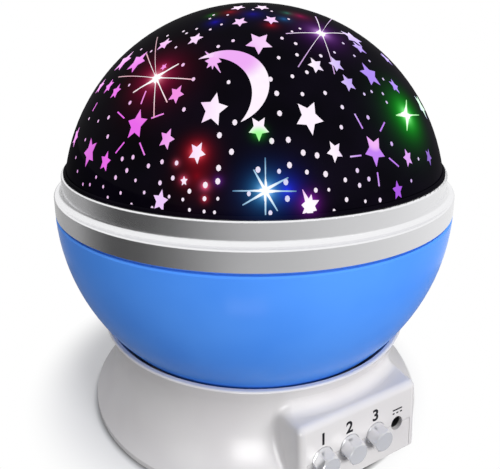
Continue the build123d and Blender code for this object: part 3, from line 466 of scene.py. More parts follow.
@dataclass(frozen=True)
class SmokedDomeShell:
    """Back-painted polystyrene dome: almost black, with only a faint gloss, and a painted glow:
    coloured halos of lamp glare, given off by the paint as emission around the windows nearest to
    the lamps."""

    name: str
    centre_z: float
    halos: tuple[tuple[Array, float, Array], ...]
    colour: str = "#050409"
    cloud: str = "#0b0712"
    cloud_mm: float = 14.0
    haze_mm: float = 9.0
    roughness: float = 0.07
    smooth: float = 0.7
    dull: float = 1.3
    gloss: float = 0.035

    def build(self) -> bpy.types.Material:
        """Make the material.

        Returns:
            The finished material.
        """
        paint = Paint(self.name)
        aim = paint.aim(self.centre_z)
        base = paint.two_tone(self.colour, self.cloud, self.cloud_mm)
        light: Socket = add_node(paint.tree, "CombineXYZ").outputs[0]
        # Painted glow: each halo of lamp glare is added to the paint's emission.
        for centre, fade, colour in self.halos:
            halo = paint.halo(aim, centre, fade)
            added = {"operation": "MULTIPLY_ADD", 1: tuple(colour)}
            light = add_node(paint.tree, "VectorMath", added, {0: halo, 2: light}).outputs[0]
        settings = {"IOR": 1.55, "Specular IOR Level": 0.0, "Coat Weight": self.gloss,
                    "Coat Roughness": self.roughness, "Emission Strength": 1.0}
        rough = paint.blotches(self.haze_mm, self.roughness * self.smooth,
                               self.roughness * self.dull)
        return paint.finish(settings, {"Base Color": base, "Roughness": rough,
                                       "Emission Color": light})


@dataclass(frozen=True)
class LitWindow:
    """Clear polystyrene window with frosted inside, filled with the lamps' light: almost white,
    and lilac, pink or violet towards the coloured lamps."""

    name: str
    centre_z: float
    zones: tuple[tuple[Array, float, str], ...]
    share: float = 1.0
    level: float = 1.0
    colour: str = "#fdf2fd"
    frost: str = "#e8d2ee"
    frost_mm: float = 1.5
    frost_share: float = 0.12
    core_share: float = 0.3

    def build(self) -> bpy.types.Material:
        """Make the material.

        Returns:
            The finished material.
        """
        paint = Paint(self.name)
        aim = paint.aim(self.centre_z)
        light = paint.two_tone(self.colour, self.frost, self.frost_mm, self.frost_share)
        for centre, reach, code in self.zones:
            near = paint.near(aim, centre, reach, reach * self.core_share)
            patch = add_node(paint.tree, "Math", {"operation": "MULTIPLY", 1: self.share},
                             {0: near}).outputs[0]
            tint = {"data_type": "RGBA", 7: linear(code)}
            light = add_node(paint.tree, "Mix", tint, {0: patch, 6: light}).outputs[2]
        return paint.glow(light, self.level)


@dataclass(frozen=True)
class LitRays:
    """Clear ray window over a lamp, lit as a painted glint of a lens-star sparkle: bright at the
    lamp, tinted further out, fading at the tips.
    """

    name: str
    centre_z: float
    centre: Array
    reach: float
    core: str
    tint: str
    tip: str
    tint_shares: tuple[float, float] = (1.0, 0.25)
    core_shares: tuple[float, float] = (0.5, 0.1)

    def build(self) -> bpy.types.Material:
        """Make the material.

        Returns:
            The finished material.
        """
        paint = Paint(self.name)
        aim = paint.aim(self.centre_z)
        outer = {"data_type": "RGBA", 6: linear(self.tip), 7: linear(self.tint)}
        far = paint.near(aim, self.centre, *(self.reach * share for share in self.tint_shares))
        light = add_node(paint.tree, "Mix", outer, {0: far}).outputs[2]
        inner = {"data_type": "RGBA", 7: linear(self.core)}
        near = paint.near(aim, self.centre, *(self.reach * share for share in self.core_shares))
        light = add_node(paint.tree, "Mix", inner, {0: near, 6: light}).outputs[2]
        return paint.glow(light)


# ---------------------------------------------------------------- shapes and objects
def unit(vectors: Array) -> Array:
    """Vectors shortened or drawn out to length one, along the last axis."""
    return vectors / np.linalg.norm(vectors, axis=-1, keepdims=True)


def on_circle(angle: Array, stretch: float = 1.0) -> Array:
    """Points of the unit circle, stretched along the second axis.

    Args:
        angle: Angles from the first axis, in radians.
        stretch: How much taller than wide the circle becomes.

    Returns:
        Both coordinates along a new last axis.
    """
    return np.stack([np.cos(angle), np.sin(angle) * stretch], -1)


def aim_at(azimuth_deg: float, elevation_deg: float) -> Array:
    """Unit direction at a turn from X and a height angle."""
    level, rise = on_circle(np.radians(elevation_deg))
    return np.append(level * on_circle(np.radians(azimuth_deg)), rise)


def link_object(name: str, data: bpy.types.ID) -> bpy.types.Object:
    """Make an object of its data and link it to the scene.

    Args:
        name: Name of the object.
        data: Its mesh, light or camera.

    Returns:
        The new object.
    """
    made = bpy.data.objects.new(name, data)
    bpy.context.scene.collection.objects.link(made)
    return made


@dataclass
class MeshParts:
    """Vertices and faces of one piece, gathered from several closed surfaces."""

    points: list[Array] = field(default_factory=list)
    faces: list[Sequence[int]] = field(default_factory=list)
    count: int = 0

    def add(self, points: Array, *faces: Array) -> None:
        """Append one surface.

        Args:
            points: Vertices, one row each.
            faces: Blocks of vertex numbers within points, one row for each face.
        """
        self.points.append(points.reshape(-1, 3))
        for block in faces:
            self.faces += (block + self.count).tolist()
        self.count += len(self.points[-1])

    def piece(self, name: str, material: bpy.types.Material, body: str, slot: Slot) -> None:
        """Make the object, dress it and let it ride.

        Args:
            name: Name of the object.
            material: Its finish.
            body: Body that carries it.
            slot: Material slot of the record that it belongs to; not used.
        """
        mesh = bpy.data.meshes.new(name)
        mesh.from_pydata(np.concatenate(self.points).tolist(), [], self.faces)
        mesh.shade_smooth()
        mesh.set_sharp_from_angle(angle=math.radians(SHARP_DEG))
        mesh.materials.append(material)
        made = link_object(name, mesh)
        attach(made, body)
        LOG.info("%s: %d vertices, %d faces", name, self.count, len(self.faces))


def grid_faces(rows: int, columns: int) -> Array:
    """Quads of an open grid whose vertices run row by row.

    Args:
        rows: Number of rows.
        columns: Number of columns.

    Returns:
        Vertex numbers, one row for each quad.
    """
    row, column = np.meshgrid(np.arange(rows - 1), np.arange(columns - 1), indexing="ij")
    corner = (row * columns + column).reshape(-1, 1)
    return corner + np.array([0, 1, columns + 1, columns])


def wall_faces(rim: Array, depth: int) -> Array:
    """Quads between a closed rim and the same rim further on in the list.

    Args:
        rim: Vertex numbers round the outer face, anticlockwise seen from outside.
        depth: How much later the inner face's vertices are numbered.

    Returns:
        Vertex numbers, one row for each quad.
    """
    after = np.roll(rim, -1, axis=-1)
    return np.stack([rim, rim + depth, after + depth, after], -1).reshape(-1, 4)


# ---------------------------------------------------------------- the viewpoint
@dataclass(frozen=True)
class Viewpoint:
    """Camera before the object's left front, with its frame in pixels from the top left."""

    azimuth_deg: float = -119.25
    distance: float = 0.16605
    height: float = 0.1188
    pitch_deg: float = 13.98
    focal_px: float = 511.93
    centre_x_px: float = 254.2
    centre_y_px: float = 165.0
    width_px: float = 500.0
    height_px: float = 469.0
    sensor_mm: float = 36.0
    nearest: float = 0.01

    def place(self) -> Array:
        """Camera's position."""
        return self.distance * aim_at(self.azimuth_deg, 0.0) + [0.0, 0.0, self.height]

    def axes(self) -> tuple[Array, Array, Array]:
        """Directions of the camera.

        Returns:
            Unit vectors to its right, up and forward.
        """
        forward = -aim_at(self.azimuth_deg, self.pitch_deg)
        right = unit(np.cross(forward, [0.0, 0.0, 1.0]))
        return right, np.cross(right, forward), forward

    def rays(self, pixels: Array) -> Array:
        """Unit directions through points of the frame.

        Args:
            pixels: Points as x and y along the last axis.

        Returns:
            Unit vectors along the last axis.
        """
        right, up, forward = self.axes()
        across = (pixels[..., :1] - self.centre_x_px) / self.focal_px
        down = (pixels[..., 1:2] - self.centre_y_px) / self.focal_px
        return unit(forward + across * right - down * up)

    def build(self) -> None:
        """Make the camera and make it the scene's own."""
        data = bpy.data.cameras.new("camera")
        data.sensor_width = self.sensor_mm
        data.lens = self.sensor_mm * self.focal_px / self.width_px
        data.shift_x = (self.width_px / 2 - self.centre_x_px) / self.width_px
        data.shift_y = (self.centre_y_px - self.height_px / 2) / self.width_px
        data.clip_start = self.nearest
        camera = link_object("camera", data)
        right, up, forward = self.axes()
        turn = Matrix([right, up, -forward]).transposed().to_4x4()
        camera.matrix_world = Matrix.Translation(Vector(self.place())) @ turn
        bpy.context.scene.camera = camera


# ---------------------------------------------------------------- star dome
class RearWindow(Enum):
    """Kinds of window behind, by the steps of each cycle that they take."""

    STAR = (0, 5)
    BIG_DOT = (1,)
    DOT = (2, 6)
    DASH = (3,)
    SMALL_DOT = (4, 7)


@dataclass(frozen=True)
class Rays:
    """Window of many rays after a lamp's lens-star sparkle, lit as a painted glint: colours from
    core to tips, core radius and tip width.
    """

    name: str
    core: str
    tint: str
    tip: str
    core_mm: float
    tip_mm: float


@dataclass(frozen=True)
class Burst(Rays):
    """Rays before the camera: their centre and tips in the frame."""

    centre_px: Pixel
    tips_px: tuple[Pixel, ...]

    def layout(self, dome: "StarDome") -> tuple[Array, Array]:
        """Place of the rays on a dome.

        Args:
            dome: The dome.

        Returns:
            Direction of the centre as one row, and east and north of the tips.
        """
        aims = dome.directions([self.centre_px])
        return aims, dome.unroll(aims, dome.directions([self.tips_px]))[0]


@dataclass(frozen=True)
class RearRays(Rays):
    """Rays behind, every second one short, lit as a painted glint: place, reach, and the colour of
    the painted glow about them.
    """

    azimuth_deg: float
    elevation_deg: float
    reach_mm: float
    painted_glow_colour: str
    count: int = 8
    short_share: float = 0.55

    def aim(self) -> Array:
        """Direction of the centre."""
        return aim_at(self.azimuth_deg, self.elevation_deg)

    def layout(self, dome: "StarDome") -> tuple[Array, Array]:
        """Place of the rays, which is the same on every dome.

        Args:
            dome: The dome; not used.

        Returns:
            Direction of the centre as one row, and east and north of the tips.
        """
        spoke = np.arange(self.count)
        reach = self.reach_mm * MM * np.where(spoke % 2, self.short_share, 1.0)
        flat = reach[:, None] * on_circle(spoke * 2 * math.pi / self.count)
        return self.aim()[None], flat


@dataclass(frozen=True)
class Halo:
    """Painted glow of lamp glare on the dome's paint: its centre in the frame, the distance over
    which it falls by e, its colour and its level in the middle."""

    centre_px: Pixel
    fade_mm: float
    colour: str
    level: float


@dataclass(frozen=True)
class Zone:
    """Part of the dome whose windows take one lamp's colour: centre, reach and colour."""

    centre_px: Pixel
    reach_mm: float
    colour: str


# Tip radii of the stars, radii of the dots and width of the bars.
LARGE_MM = 3.45
BROAD_MM = 3.1
MEDIUM_MM = 2.4
SMALL_MM = 2.05
SLIM_MM = 1.85
TINY_MM = 0.9
BIG_DOT_MM = 0.57
DOT_MM = 0.45
SMALL_DOT_MM = 0.34
DASH_MM = 0.37

# Star windows by tip radius, each as its centre and one of its tips.
STARS: dict[float, tuple[tuple[Pixel, Pixel], ...]] = {
    LARGE_MM: (
        ((213.0, 109.5), (216.9, 93.3)), ((259.0, 42.6), (258.7, 53.1)),
        ((309.2, 117.0), (312.7, 134.7)),
    ),
    BROAD_MM: (
        ((136.4, 124.6), (140.2, 110.8)), ((89.6, 152.2), (91.1, 139.4)),
        ((370.0, 74.8), (371.2, 84.0)), ((374.7, 150.2), (376.5, 165.8)),
        ((137.2, 62.0), (145.9, 53.1)), ((124.0, 61.5), (118.0, 67.0)),
        ((352.5, 38.0), (346.0, 34.0)), ((421.0, 106.0), (417.0, 97.0)),
    ),
    MEDIUM_MM: (
        ((258.8, 128.2), (259.1, 139.6)), ((75.8, 137.0), (77.0, 129.0)),
    ),
    SMALL_MM: (
        ((105.2, 161.5), (107.5, 153.3)), ((166.7, 139.0), (167.4, 149.1)),
        ((197.0, 152.6), (197.3, 163.5)), ((160.2, 200.9), (161.8, 191.6)),
        ((315.7, 65.3), (315.7, 73.3)), ((336.1, 64.2), (336.7, 71.3)),
        ((348.2, 83.0), (348.9, 91.2)), ((334.8, 151.4), (334.9, 162.8)),
        ((239.7, 21.8), (239.8, 26.0)), ((271.0, 19.8), (271.0, 24.0)),
        ((195.4, 38.9), (196.1, 44.2)), ((164.4, 44.0), (170.6, 41.4)),
        ((176.2, 94.2), (175.8, 102.7)), ((359.0, 47.8), (364.5, 52.0)),
        ((100.5, 86.5), (98.0, 92.0)), ((238.0, 7.6), (238.0, 10.0)), ((262.0, 7.4), (262.0, 9.4)),
        ((386.0, 58.5), (381.0, 54.5)),
    ),
    SLIM_MM: (
        ((394.4, 86.0), (388.9, 81.4)), ((407.8, 157.8), (407.9, 165.8)),
        ((428.8, 156.8), (428.3, 150.5)), ((397.8, 190.4), (396.9, 183.2)),
        ((109.0, 86.2), (112.2, 80.4)), ((115.9, 91.4), (114.7, 98.2)),
    ),
    TINY_MM: (
        ((163.7, 67.0), (162.5, 70.5)), ((184.0, 181.0), (184.0, 178.0)),
    ),
}

BIG_DOTS: tuple[Pixel, ...] = (
    (276.7, 93.3), (317.1, 155.4), (325.6, 174.1), (234.8, 122.4), (219.4, 135.2), (231.5, 151.8),
    (218.6, 168.0), (217.8, 181.3), (205.3, 185.0), (279.6, 113.3), (271.7, 141.0), (288.3, 139.8),
    (303.2, 152.7), (289.5, 165.1), (270.4, 79.2), (258.0, 169.7), (285.8, 182.1), (287.4, 198.7),
)

DOTS: tuple[Pixel, ...] = (
    (183.0, 64.8), (193.4, 79.2), (130.0, 102.7), (183.9, 109.5), (233.1, 40.7), (218.2, 46.5),
    (282.0, 38.2), (295.7, 43.6), (297.0, 54.8), (278.7, 57.7), (292.4, 76.3), (306.9, 72.2),
    (302.4, 94.1), (228.6, 82.1), (320.8, 55.8), (325.1, 92.9), (342.3, 107.1), (368.0, 117.4),
    (341.3, 127.2), (391.7, 143.8), (345.3, 179.9), (357.3, 170.5), (359.6, 185.3), (368.9, 179.0),
    (315.8, 190.2), (380.1, 200.0), (204.5, 198.7), (306.9, 172.1), (279.1, 171.3), (270.4, 212.8),
    (248.9, 193.7), (108.6, 117.4), (107.7, 136.5), (122.2, 158.9), (133.0, 157.2), (126.8, 170.5),
    (115.6, 177.5), (148.4, 165.9), (162.0, 161.8), (160.0, 182.9), (176.6, 163.0), (172.8, 178.0),
    (189.4, 191.2), (346.6, 199.6),
)

SMALL_DOTS: tuple[Pixel, ...] = (
    (129.2, 85.1), (151.2, 51.3), (141.2, 49.3), (175.9, 47.3), (186.6, 33.3), (183.5, 31.3),
    (196.6, 28.9), (167.5, 35.7), (210.3, 29.5), (221.5, 24.5), (213.6, 15.0), (209.9, 18.7),
    (227.7, 15.0), (253.0, 9.6), (271.7, 11.2), (288.7, 19.1), (292.0, 31.5), (299.9, 28.6),
    (343.2, 43.3), (334.5, 52.4), (354.4, 55.8), (369.4, 61.0), (383.2, 79.1), (371.6, 91.6),
    (364.3, 94.1), (382.8, 93.7), (386.7, 102.3), (328.8, 189.7), (365.4, 201.3), (334.1, 210.7),
    (411.3, 180.8), (418.5, 158.9), (217.8, 198.7), (204.1, 211.5), (214.5, 212.4), (98.2, 121.1),
    (89.0, 118.7), (85.3, 139.8), (169.1, 196.6), (182.8, 199.5), (189.4, 209.9), (185.3, 214.8),
    (152.1, 207.8), (144.2, 192.5), (135.5, 180.4), (120.6, 192.9), (131.4, 204.5), (107.7, 197.4),
    (103.2, 186.7), (96.1, 177.1), (89.9, 184.6), (82.9, 184.2), (77.5, 171.3), (75.9, 157.5),
)

# Bar windows, each between two points.
DASHES: tuple[tuple[Pixel, Pixel], ...] = (
    ((117.7, 112.0), (124.3, 118.2)), ((151.3, 118.2), (163.7, 113.7)),
    ((124.3, 142.3), (115.6, 153.1)), ((139.7, 142.7), (144.6, 155.1)),
    ((146.0, 91.0), (141.0, 104.0)), ((97.4, 102.6), (92.6, 111.2)),
    ((354.6, 113.8), (362.7, 128.6)), ((384.6, 122.3), (380.1, 131.3)),
    ((350.2, 156.7), (361.3, 155.4)), ((377.4, 172.3), (379.2, 186.2)),
    ((389.0, 158.0), (398.8, 166.5)),
)

RED_LAMP_PX = (156.3, 78.0)
VIOLET_LAMP_PX = (321.2, 33.4)
GREEN_LAMP_PX = (406.4, 115.2)
BLUE_LAMP_PX = (265.5, 190.8)

# Lens-star sparkles, drawn as ray windows lit with a painted glint.
BURSTS = (
    Burst("dome_burst_low", "#ffffff", "#fff0ff", "#f0b0f2", 1.25, 0.12, (309.5, 206.0),
          ((302.5, 189.5), (311.3, 194.6), (318.8, 200.3), (316.6, 210.3), (313.0, 214.6),
           (307.6, 215.0), (302.6, 213.8), (301.6, 205.0))),
    Burst("dome_burst_moon", "#f0aef2", "#eeaaf0", "#e6b2ec", 1.25, 0.12, (213.4, 60.6),
          ((205.3, 51.5), (215.3, 52.3), (221.3, 61.8), (220.6, 72.8), (212.5, 69.2),
           (207.0, 67.9), (205.2, 61.0))),
    Burst("dome_rays_red", "#ffffff", "#f4b8c6", "#a07a86", 0.85, 0.3, RED_LAMP_PX,
          ((118.5, 77.0), (194.3, 79.6), (157.6, 37.0), (154.0, 118.0), (146.5, 53.5),
           (178.8, 63.8), (133.0, 92.6), (167.2, 102.4))),
    Burst("dome_rays_violet", "#ffffff", "#e0b4f2", "#9076a4", 0.85, 0.3, VIOLET_LAMP_PX,
          ((286.0, 33.6), (346.0, 33.9), (315.4, 16.6), (334.5, 74.0), (333.0, 17.6),
           (298.2, 67.0))),
    Burst("dome_rays_green", "#ffffff", "#b8ffb0", "#4cb848", 0.9, 0.22, GREEN_LAMP_PX,
          ((396.0, 115.4), (419.0, 115.0), (406.4, 99.9), (407.0, 130.6))),
    Burst("dome_rays_blue", "#ffffff", "#b4dcf6", "#4c7ea4", 0.75, 0.25, BLUE_LAMP_PX,
          ((232.5, 191.0), (296.5, 191.2), (265.2, 157.6), (265.6, 217.0), (253.6, 169.6),
           (277.6, 211.0), (288.3, 177.5), (242.4, 205.2))),
)

# Sparkles behind, drawn the same way, with painted glow of their colour about them.
REAR_RAYS = (
    RearRays("dome_rear_rays_red", "#ffffff", "#f4b8c6", "#a07a86", 0.85, 0.3,
             128.0, 34.0, 9.0, "#ff0078"),
    RearRays("dome_rear_rays_blue", "#ffffff", "#b4dcf6", "#4c7ea4", 0.85, 0.3,
             10.0, 30.0, 9.0, "#0080ff"),
    RearRays("dome_rear_rays_green", "#ffffff", "#b8ffb0", "#4cb848", 0.85, 0.3,
             72.0, 68.0, 7.0, "#00ff28"),
)

# Painted glow: halos of lamp glare that the dome's dark paint gives off as emission.
HALOS = (
    Halo(RED_LAMP_PX, 2.6, "#ff0068", 0.7), Halo(RED_LAMP_PX, 0.7, "#ffe0ea", 2.0),
    Halo((163.5, 67.0), 0.6, "#ff4070", 0.5), Halo((197.0, 152.4), 1.0, "#f00828", 2.2),
    Halo((197.0, 152.4), 0.45, "#ffc0d0", 2.0), Halo((197.0, 176.0), 1.8, "#f00020", 0.18),
    Halo((205.1, 186.0), 0.47, "#ff6090", 2.0), Halo((183.6, 179.8), 0.45, "#ff5078", 1.5),
    Halo((176.4, 163.0), 0.4, "#ff6080", 0.9), Halo((204.5, 198.7), 0.4, "#ff4060", 1.0),
    Halo((309.4, 203.0), 0.95, "#d030fa", 1.0), Halo((258.9, 133.0), 0.55, "#30ff30", 0.8),
    Halo(BLUE_LAMP_PX, 1.3, "#50e0ff", 1.0), Halo(BLUE_LAMP_PX, 2.2, "#0048f0", 0.5),
    Halo(BLUE_LAMP_PX, 0.5, "#ffffff", 2.0), Halo((287.0, 190.0), 1.5, "#2020ff", 0.8),
    Halo((218.0, 181.0), 0.5, "#a040e0", 0.6), Halo(VIOLET_LAMP_PX, 2.4, "#7a20a0", 1.3),
    Halo(VIOLET_LAMP_PX, 0.8, "#f6c8ff", 2.2), Halo(GREEN_LAMP_PX, 2.4, "#00ff28", 1.2),
    Halo(GREEN_LAMP_PX, 0.7, "#ffffff", 2.0), Halo((215.0, 22.0), 1.0, "#2010ff", 0.35),
    Halo((253.0, 14.0), 1.6, "#2010ff", 0.2), Halo((284.0, 19.0), 0.9, "#20a0ff", 0.3),
    Halo((230.0, 12.0), 1.2, "#ff1030", 0.25), Halo((271.0, 25.0), 0.8, "#ff1030", 0.35),
    Halo((212.0, 15.0), 0.8, "#20c020", 0.3), Halo((287.0, 13.0), 0.8, "#20c0a0", 0.3),
    Halo((300.0, 16.0), 1.4, "#ff1080", 0.25),
)

# Where the lamps turn the windows pink, magenta or violet, how far round, and the colour.
WINDOW_ZONES = (
    Zone((108.0, 118.0), 34.0, "#e65ce6"), Zone((162.0, 84.0), 12.0, "#f08ae0"),
    Zone((245.0, 22.0), 20.0, "#f0c4f4"), Zone((236.0, 58.0), 8.0, "#eba6f2"),
    Zone((400.0, 92.0), 30.0, "#a47cf0"), Zone((385.0, 150.0), 15.0, "#c07cf2"),
    Zone((374.0, 141.0), 3.0, "#efb0f4"), Zone((404.0, 194.0), 9.0, "#a44ae0"),
    Zone((407.8, 157.8), 3.2, "#dca0f2"), Zone((430.0, 157.0), 5.0, "#7038b8"),
    Zone((160.0, 200.0), 7.0, "#ecc8fa"), Zone((259.0, 139.0), 3.4, "#9cff90"),
    Zone((83.0, 160.0), 13.0, "#d454d6"), Zone((421.0, 104.0), 6.0, "#c4ffcc"),
    Zone((272.0, 190.0), 7.0, "#9cb4ff"),
)


@dataclass
class StarDome:
    """Dark dome with clear windows, lit from inside by four lamps.

    The moon's outer and inner circle are given as east and north of their middle and radius.
    """

    view: Viewpoint
    centre_z: float = 0.069
    outer: float = 0.06025
    inner: float = 0.05845
    proud: float = 0.00003
    star_tips: int = 5
    star_rings: int = 2
    dot_corners: int = 8
    ray_rings: int = 7
    notch: float = 0.5
    north_stretch: float = 1.3
    body: str = "dome"
    moon_px: Pixel = (245.0, 85.0)
    moon_outer_mm: tuple[float, float, float] = (-5.30, 0.30, 10.97)
    moon_inner_mm: tuple[float, float, float] = (-9.92, -2.52, 11.65)
    moon_rows: int = 41
    moon_columns: int = 7
    horn_cut: float = 0.006
    rear_moon_deg: tuple[float, float] = (62.0, 34.0)
    rear_count: int = 250
    rear_cycle: int = 8
    rear_low: float = 0.29
    rear_high: float = 0.975
    rear_room_mm: float = 13.0
    rear_dash_mm: float = 3.2
    rear_fade_mm: float = 1.9
    dot_tint: float = 0.45
    dot_level: float = 0.92
    out_of_sight: float = 0.06
    seed: int = 7

    def centre(self) -> Array:
        """Middle of the dome's sphere."""
        return np.array([0.0, 0.0, self.centre_z])

    def directions(self, pixels: Any) -> Array:
        """Directions from the dome's centre to the points seen at the pixels.

        A ray eye + t d meets the sphere where t is the smaller root of
        t t + 2 t (d . e) + e . e - r r = 0, with e the eye seen from the centre. A ray that
        passes beside the sphere gives the point of the outline next to it.

        Args:
            pixels: Points of the frame, x and y along the last axis.

        Returns:
            Unit vectors along the last axis.
        """
        rays = self.view.rays(np.asarray(pixels, dtype=float))
        eye = self.view.place() - self.centre()
        half = (rays * eye).sum(-1, keepdims=True)
        inside = np.maximum(half ** 2 - (eye @ eye - self.outer ** 2), 0.0)
        return unit(eye + rays * (-half - np.sqrt(inside)))

    def rear_aims(self) -> dict[RearWindow, Array]:
        """Evenly spread directions that the camera does not see, clear of the rear motifs.

        Step i of n has the sine of its height at low + (high - low)(i + 1/2) / n and turns
        on by the golden angle. A direction is out of sight where its cosine to the camera
        is less than the ball's radius over the camera's distance.

        Returns:
            Unit vectors for each kind of window, one row each.
        """
        step = np.arange(self.rear_count)
        height = self.rear_low + (self.rear_high - self.rear_low) * (step + 0.5) / self.rear_count
        turn = step * math.pi * (3 - math.sqrt(5))
        level = np.sqrt(1 - height ** 2)
        aims = np.column_stack([level[:, None] * on_circle(turn), height])
        eye = self.view.place() - self.centre()
        far = float(np.linalg.norm(eye))
        free = aims @ eye / far < self.outer / far - self.out_of_sight
        for motif in [aim_at(*self.rear_moon_deg)] + [rays.aim() for rays in REAR_RAYS]:
            free &= aims @ motif < math.cos(self.rear_room_mm * MM / self.outer)
        aims = aims[free]
        place = np.arange(len(aims)) % self.rear_cycle
        return {kind: aims[np.isin(place, kind.value)] for kind in RearWindow}

    @staticmethod
    def tangents(aims: Array) -> tuple[Array, Array]:
        """Unit vectors to the east and north on the dome.

        Args:
            aims: Unit vectors from the dome's centre, one row each.

        Returns:
            East and north, one row each.
        """
        east = unit(np.cross([0.0, 0.0, 1.0], aims))
        return east, np.cross(aims, east)

    def unroll(self, aims: Array, targets: Array) -> Array:
        """Flat east and north of targets as seen from aims, by arc length.

        Args:
            aims: Unit vectors of the centres, k rows.
            targets: Unit vectors of the targets, k rows of m.

        Returns:
            East and north in metres, k rows of m.
        """
        flat = np.stack([np.einsum("kmi,ki->km", targets, axis)
                         for axis in self.tangents(aims)], -1)
        straight = np.clip(np.einsum("kmi,ki->km", targets, aims), -1.0, 1.0)
        length = np.maximum(np.linalg.norm(flat, axis=-1), NEVER_ZERO)
        return flat * (self.outer * np.arccos(straight) / length)[..., None]

    def wrap(self, aims: Array, flat: Array, radius: float) -> Array:
        """Points of the sphere at flat east and north from aims, by arc length.

        The point at distance a from the centre c is radius times
        cos(a / R) c + sin(a / R) times its unit direction, with R the outer radius.

        Args:
            aims: Unit vectors of the centres, k rows.
            flat: East and north in metres, k rows of m.
            radius: Radius of the sphere that takes the points.

        Returns:
            Points in the row frame, k rows of m.
        """
        east, north = self.tangents(aims)
        far = np.linalg.norm(flat, axis=-1, keepdims=True) / self.outer
        side = flat[..., :1] * east[:, None] + flat[..., 1:] * north[:, None]
        aimed = np.cos(far) * aims[:, None] + np.sinc(far / math.pi) * side / self.outer
        return aimed * radius + self.centre()

    def through_wall(self, aims: Array, flat: Array, rim: Array, *faces: Array) -> MeshParts:
        """Closed plugs through the dome's wall, a hair proud of it on both sides.

        Args:
            aims: Unit vectors of the centres, k rows.
            flat: East and north of each outer face's points, k rows of m.
            rim: Numbers of the points round the face, anticlockwise seen from outside.
            faces: Blocks of point numbers of the face, seen from outside.

        Returns:
            The plugs' vertices and faces.
        """
        size = flat.shape[1]
        outside = self.wrap(aims, flat, self.outer + self.proud)
        inside = self.wrap(aims, flat, self.inner - self.proud)
        blocks = [*faces, *(block[:, ::-1] + size for block in faces), wall_faces(rim, size)]
        start = (np.arange(len(aims)) * 2 * size)[:, None, None]
        parts = MeshParts()
        parts.add(np.concatenate([outside, inside], axis=1),
                  *[(start + block).reshape(-1, block.shape[-1]) for block in blocks])
        return parts

    def plugs(self, aims: Array, outlines: Array, rings: int) -> MeshParts:
        """Plugs through the dome's wall, one under each outline.

        Each face is the outline drawn again at equal steps from its centre, so that it
        follows the sphere.

        Args:
            aims: Unit vectors of the centres, k rows.
            outlines: East and north of each outline, anticlockwise, k rows of m.
            rings: Number of steps from the centre to the outline.

        Returns:
            The plugs' vertices and faces.
        """
        plugs, corners = outlines.shape[:2]
        steps = np.arange(1, rings + 1)[:, None, None] / rings
        flat = (outlines[:, None] * steps).reshape(plugs, -1, 2)
        flat = np.concatenate([np.zeros((plugs, 1, 2)), flat], axis=1)
        corner = np.arange(corners)
        after = (corner + 1) % corners
        fan = np.stack([np.zeros_like(corner), 1 + corner, 1 + after], -1)
        low = 1 + np.arange(rings - 1)[:, None] * corners
        band = np.stack([low + corner, low + corner + corners, low + after + corners,
                         low + after], -1).reshape(-1, 4)
        return self.through_wall(aims, flat, 1 + (rings - 1) * corners + corner, fan, band)

    def star_outlines(self, reach: Array, turn: Array) -> Array:
        """Outlines of stars, a little taller than wide.

        Args:
            reach: Distance from centre to tip, k values.
            turn: Angle of one tip from east before the stretch, in radians, k values.

        Returns:
            East and north, k rows of a corner for each tip and each notch.
        """
        step = np.arange(2 * self.star_tips)
        angle = turn[:, None] + step * math.pi / self.star_tips
        radius = reach[:, None] * np.where(step % 2, self.notch, 1.0)
        return radius[..., None] * on_circle(angle, self.north_stretch)

    def round_outlines(self, reach: Array) -> Array:
        """Outlines of dots, a little taller than wide.

        Args:
            reach: Radius of each dot, k values.

        Returns:
            East and north, k rows of corners.
        """
        angle = np.arange(self.dot_corners) * 2 * math.pi / self.dot_corners
        return reach[:, None, None] * on_circle(angle, self.north_stretch)

    def ray_outline(self, flat: Array, core: float, width: float) -> Array:
        """Outline with one cut-off tip for each ray and a notch between neighbours.

        A tip's two corners lie half its width to either side of the ray, and a notch lies at
        the core's distance halfway round to the next ray, a little further north and south.

        Args:
            flat: East and north of the ray tips, m rows.
            core: Distance from the centre to the notches.
            width: Width of the tips.

        Returns:
            East and north, one row of 3 m corners.
        """
        angle = np.arctan2(flat[:, 1], flat[:, 0]) % (2 * math.pi)
        order = np.argsort(angle)
        tips, angle = flat[order], angle[order]
        side = np.stack([-np.sin(angle), np.cos(angle)], -1) * width / 2
        gap = (np.roll(angle, -1) - angle) % (2 * math.pi)
        notch = core * on_circle(angle + gap / 2, self.north_stretch)
        return np.stack([tips - side, tips + side, notch], 1).reshape(1, -1, 2)

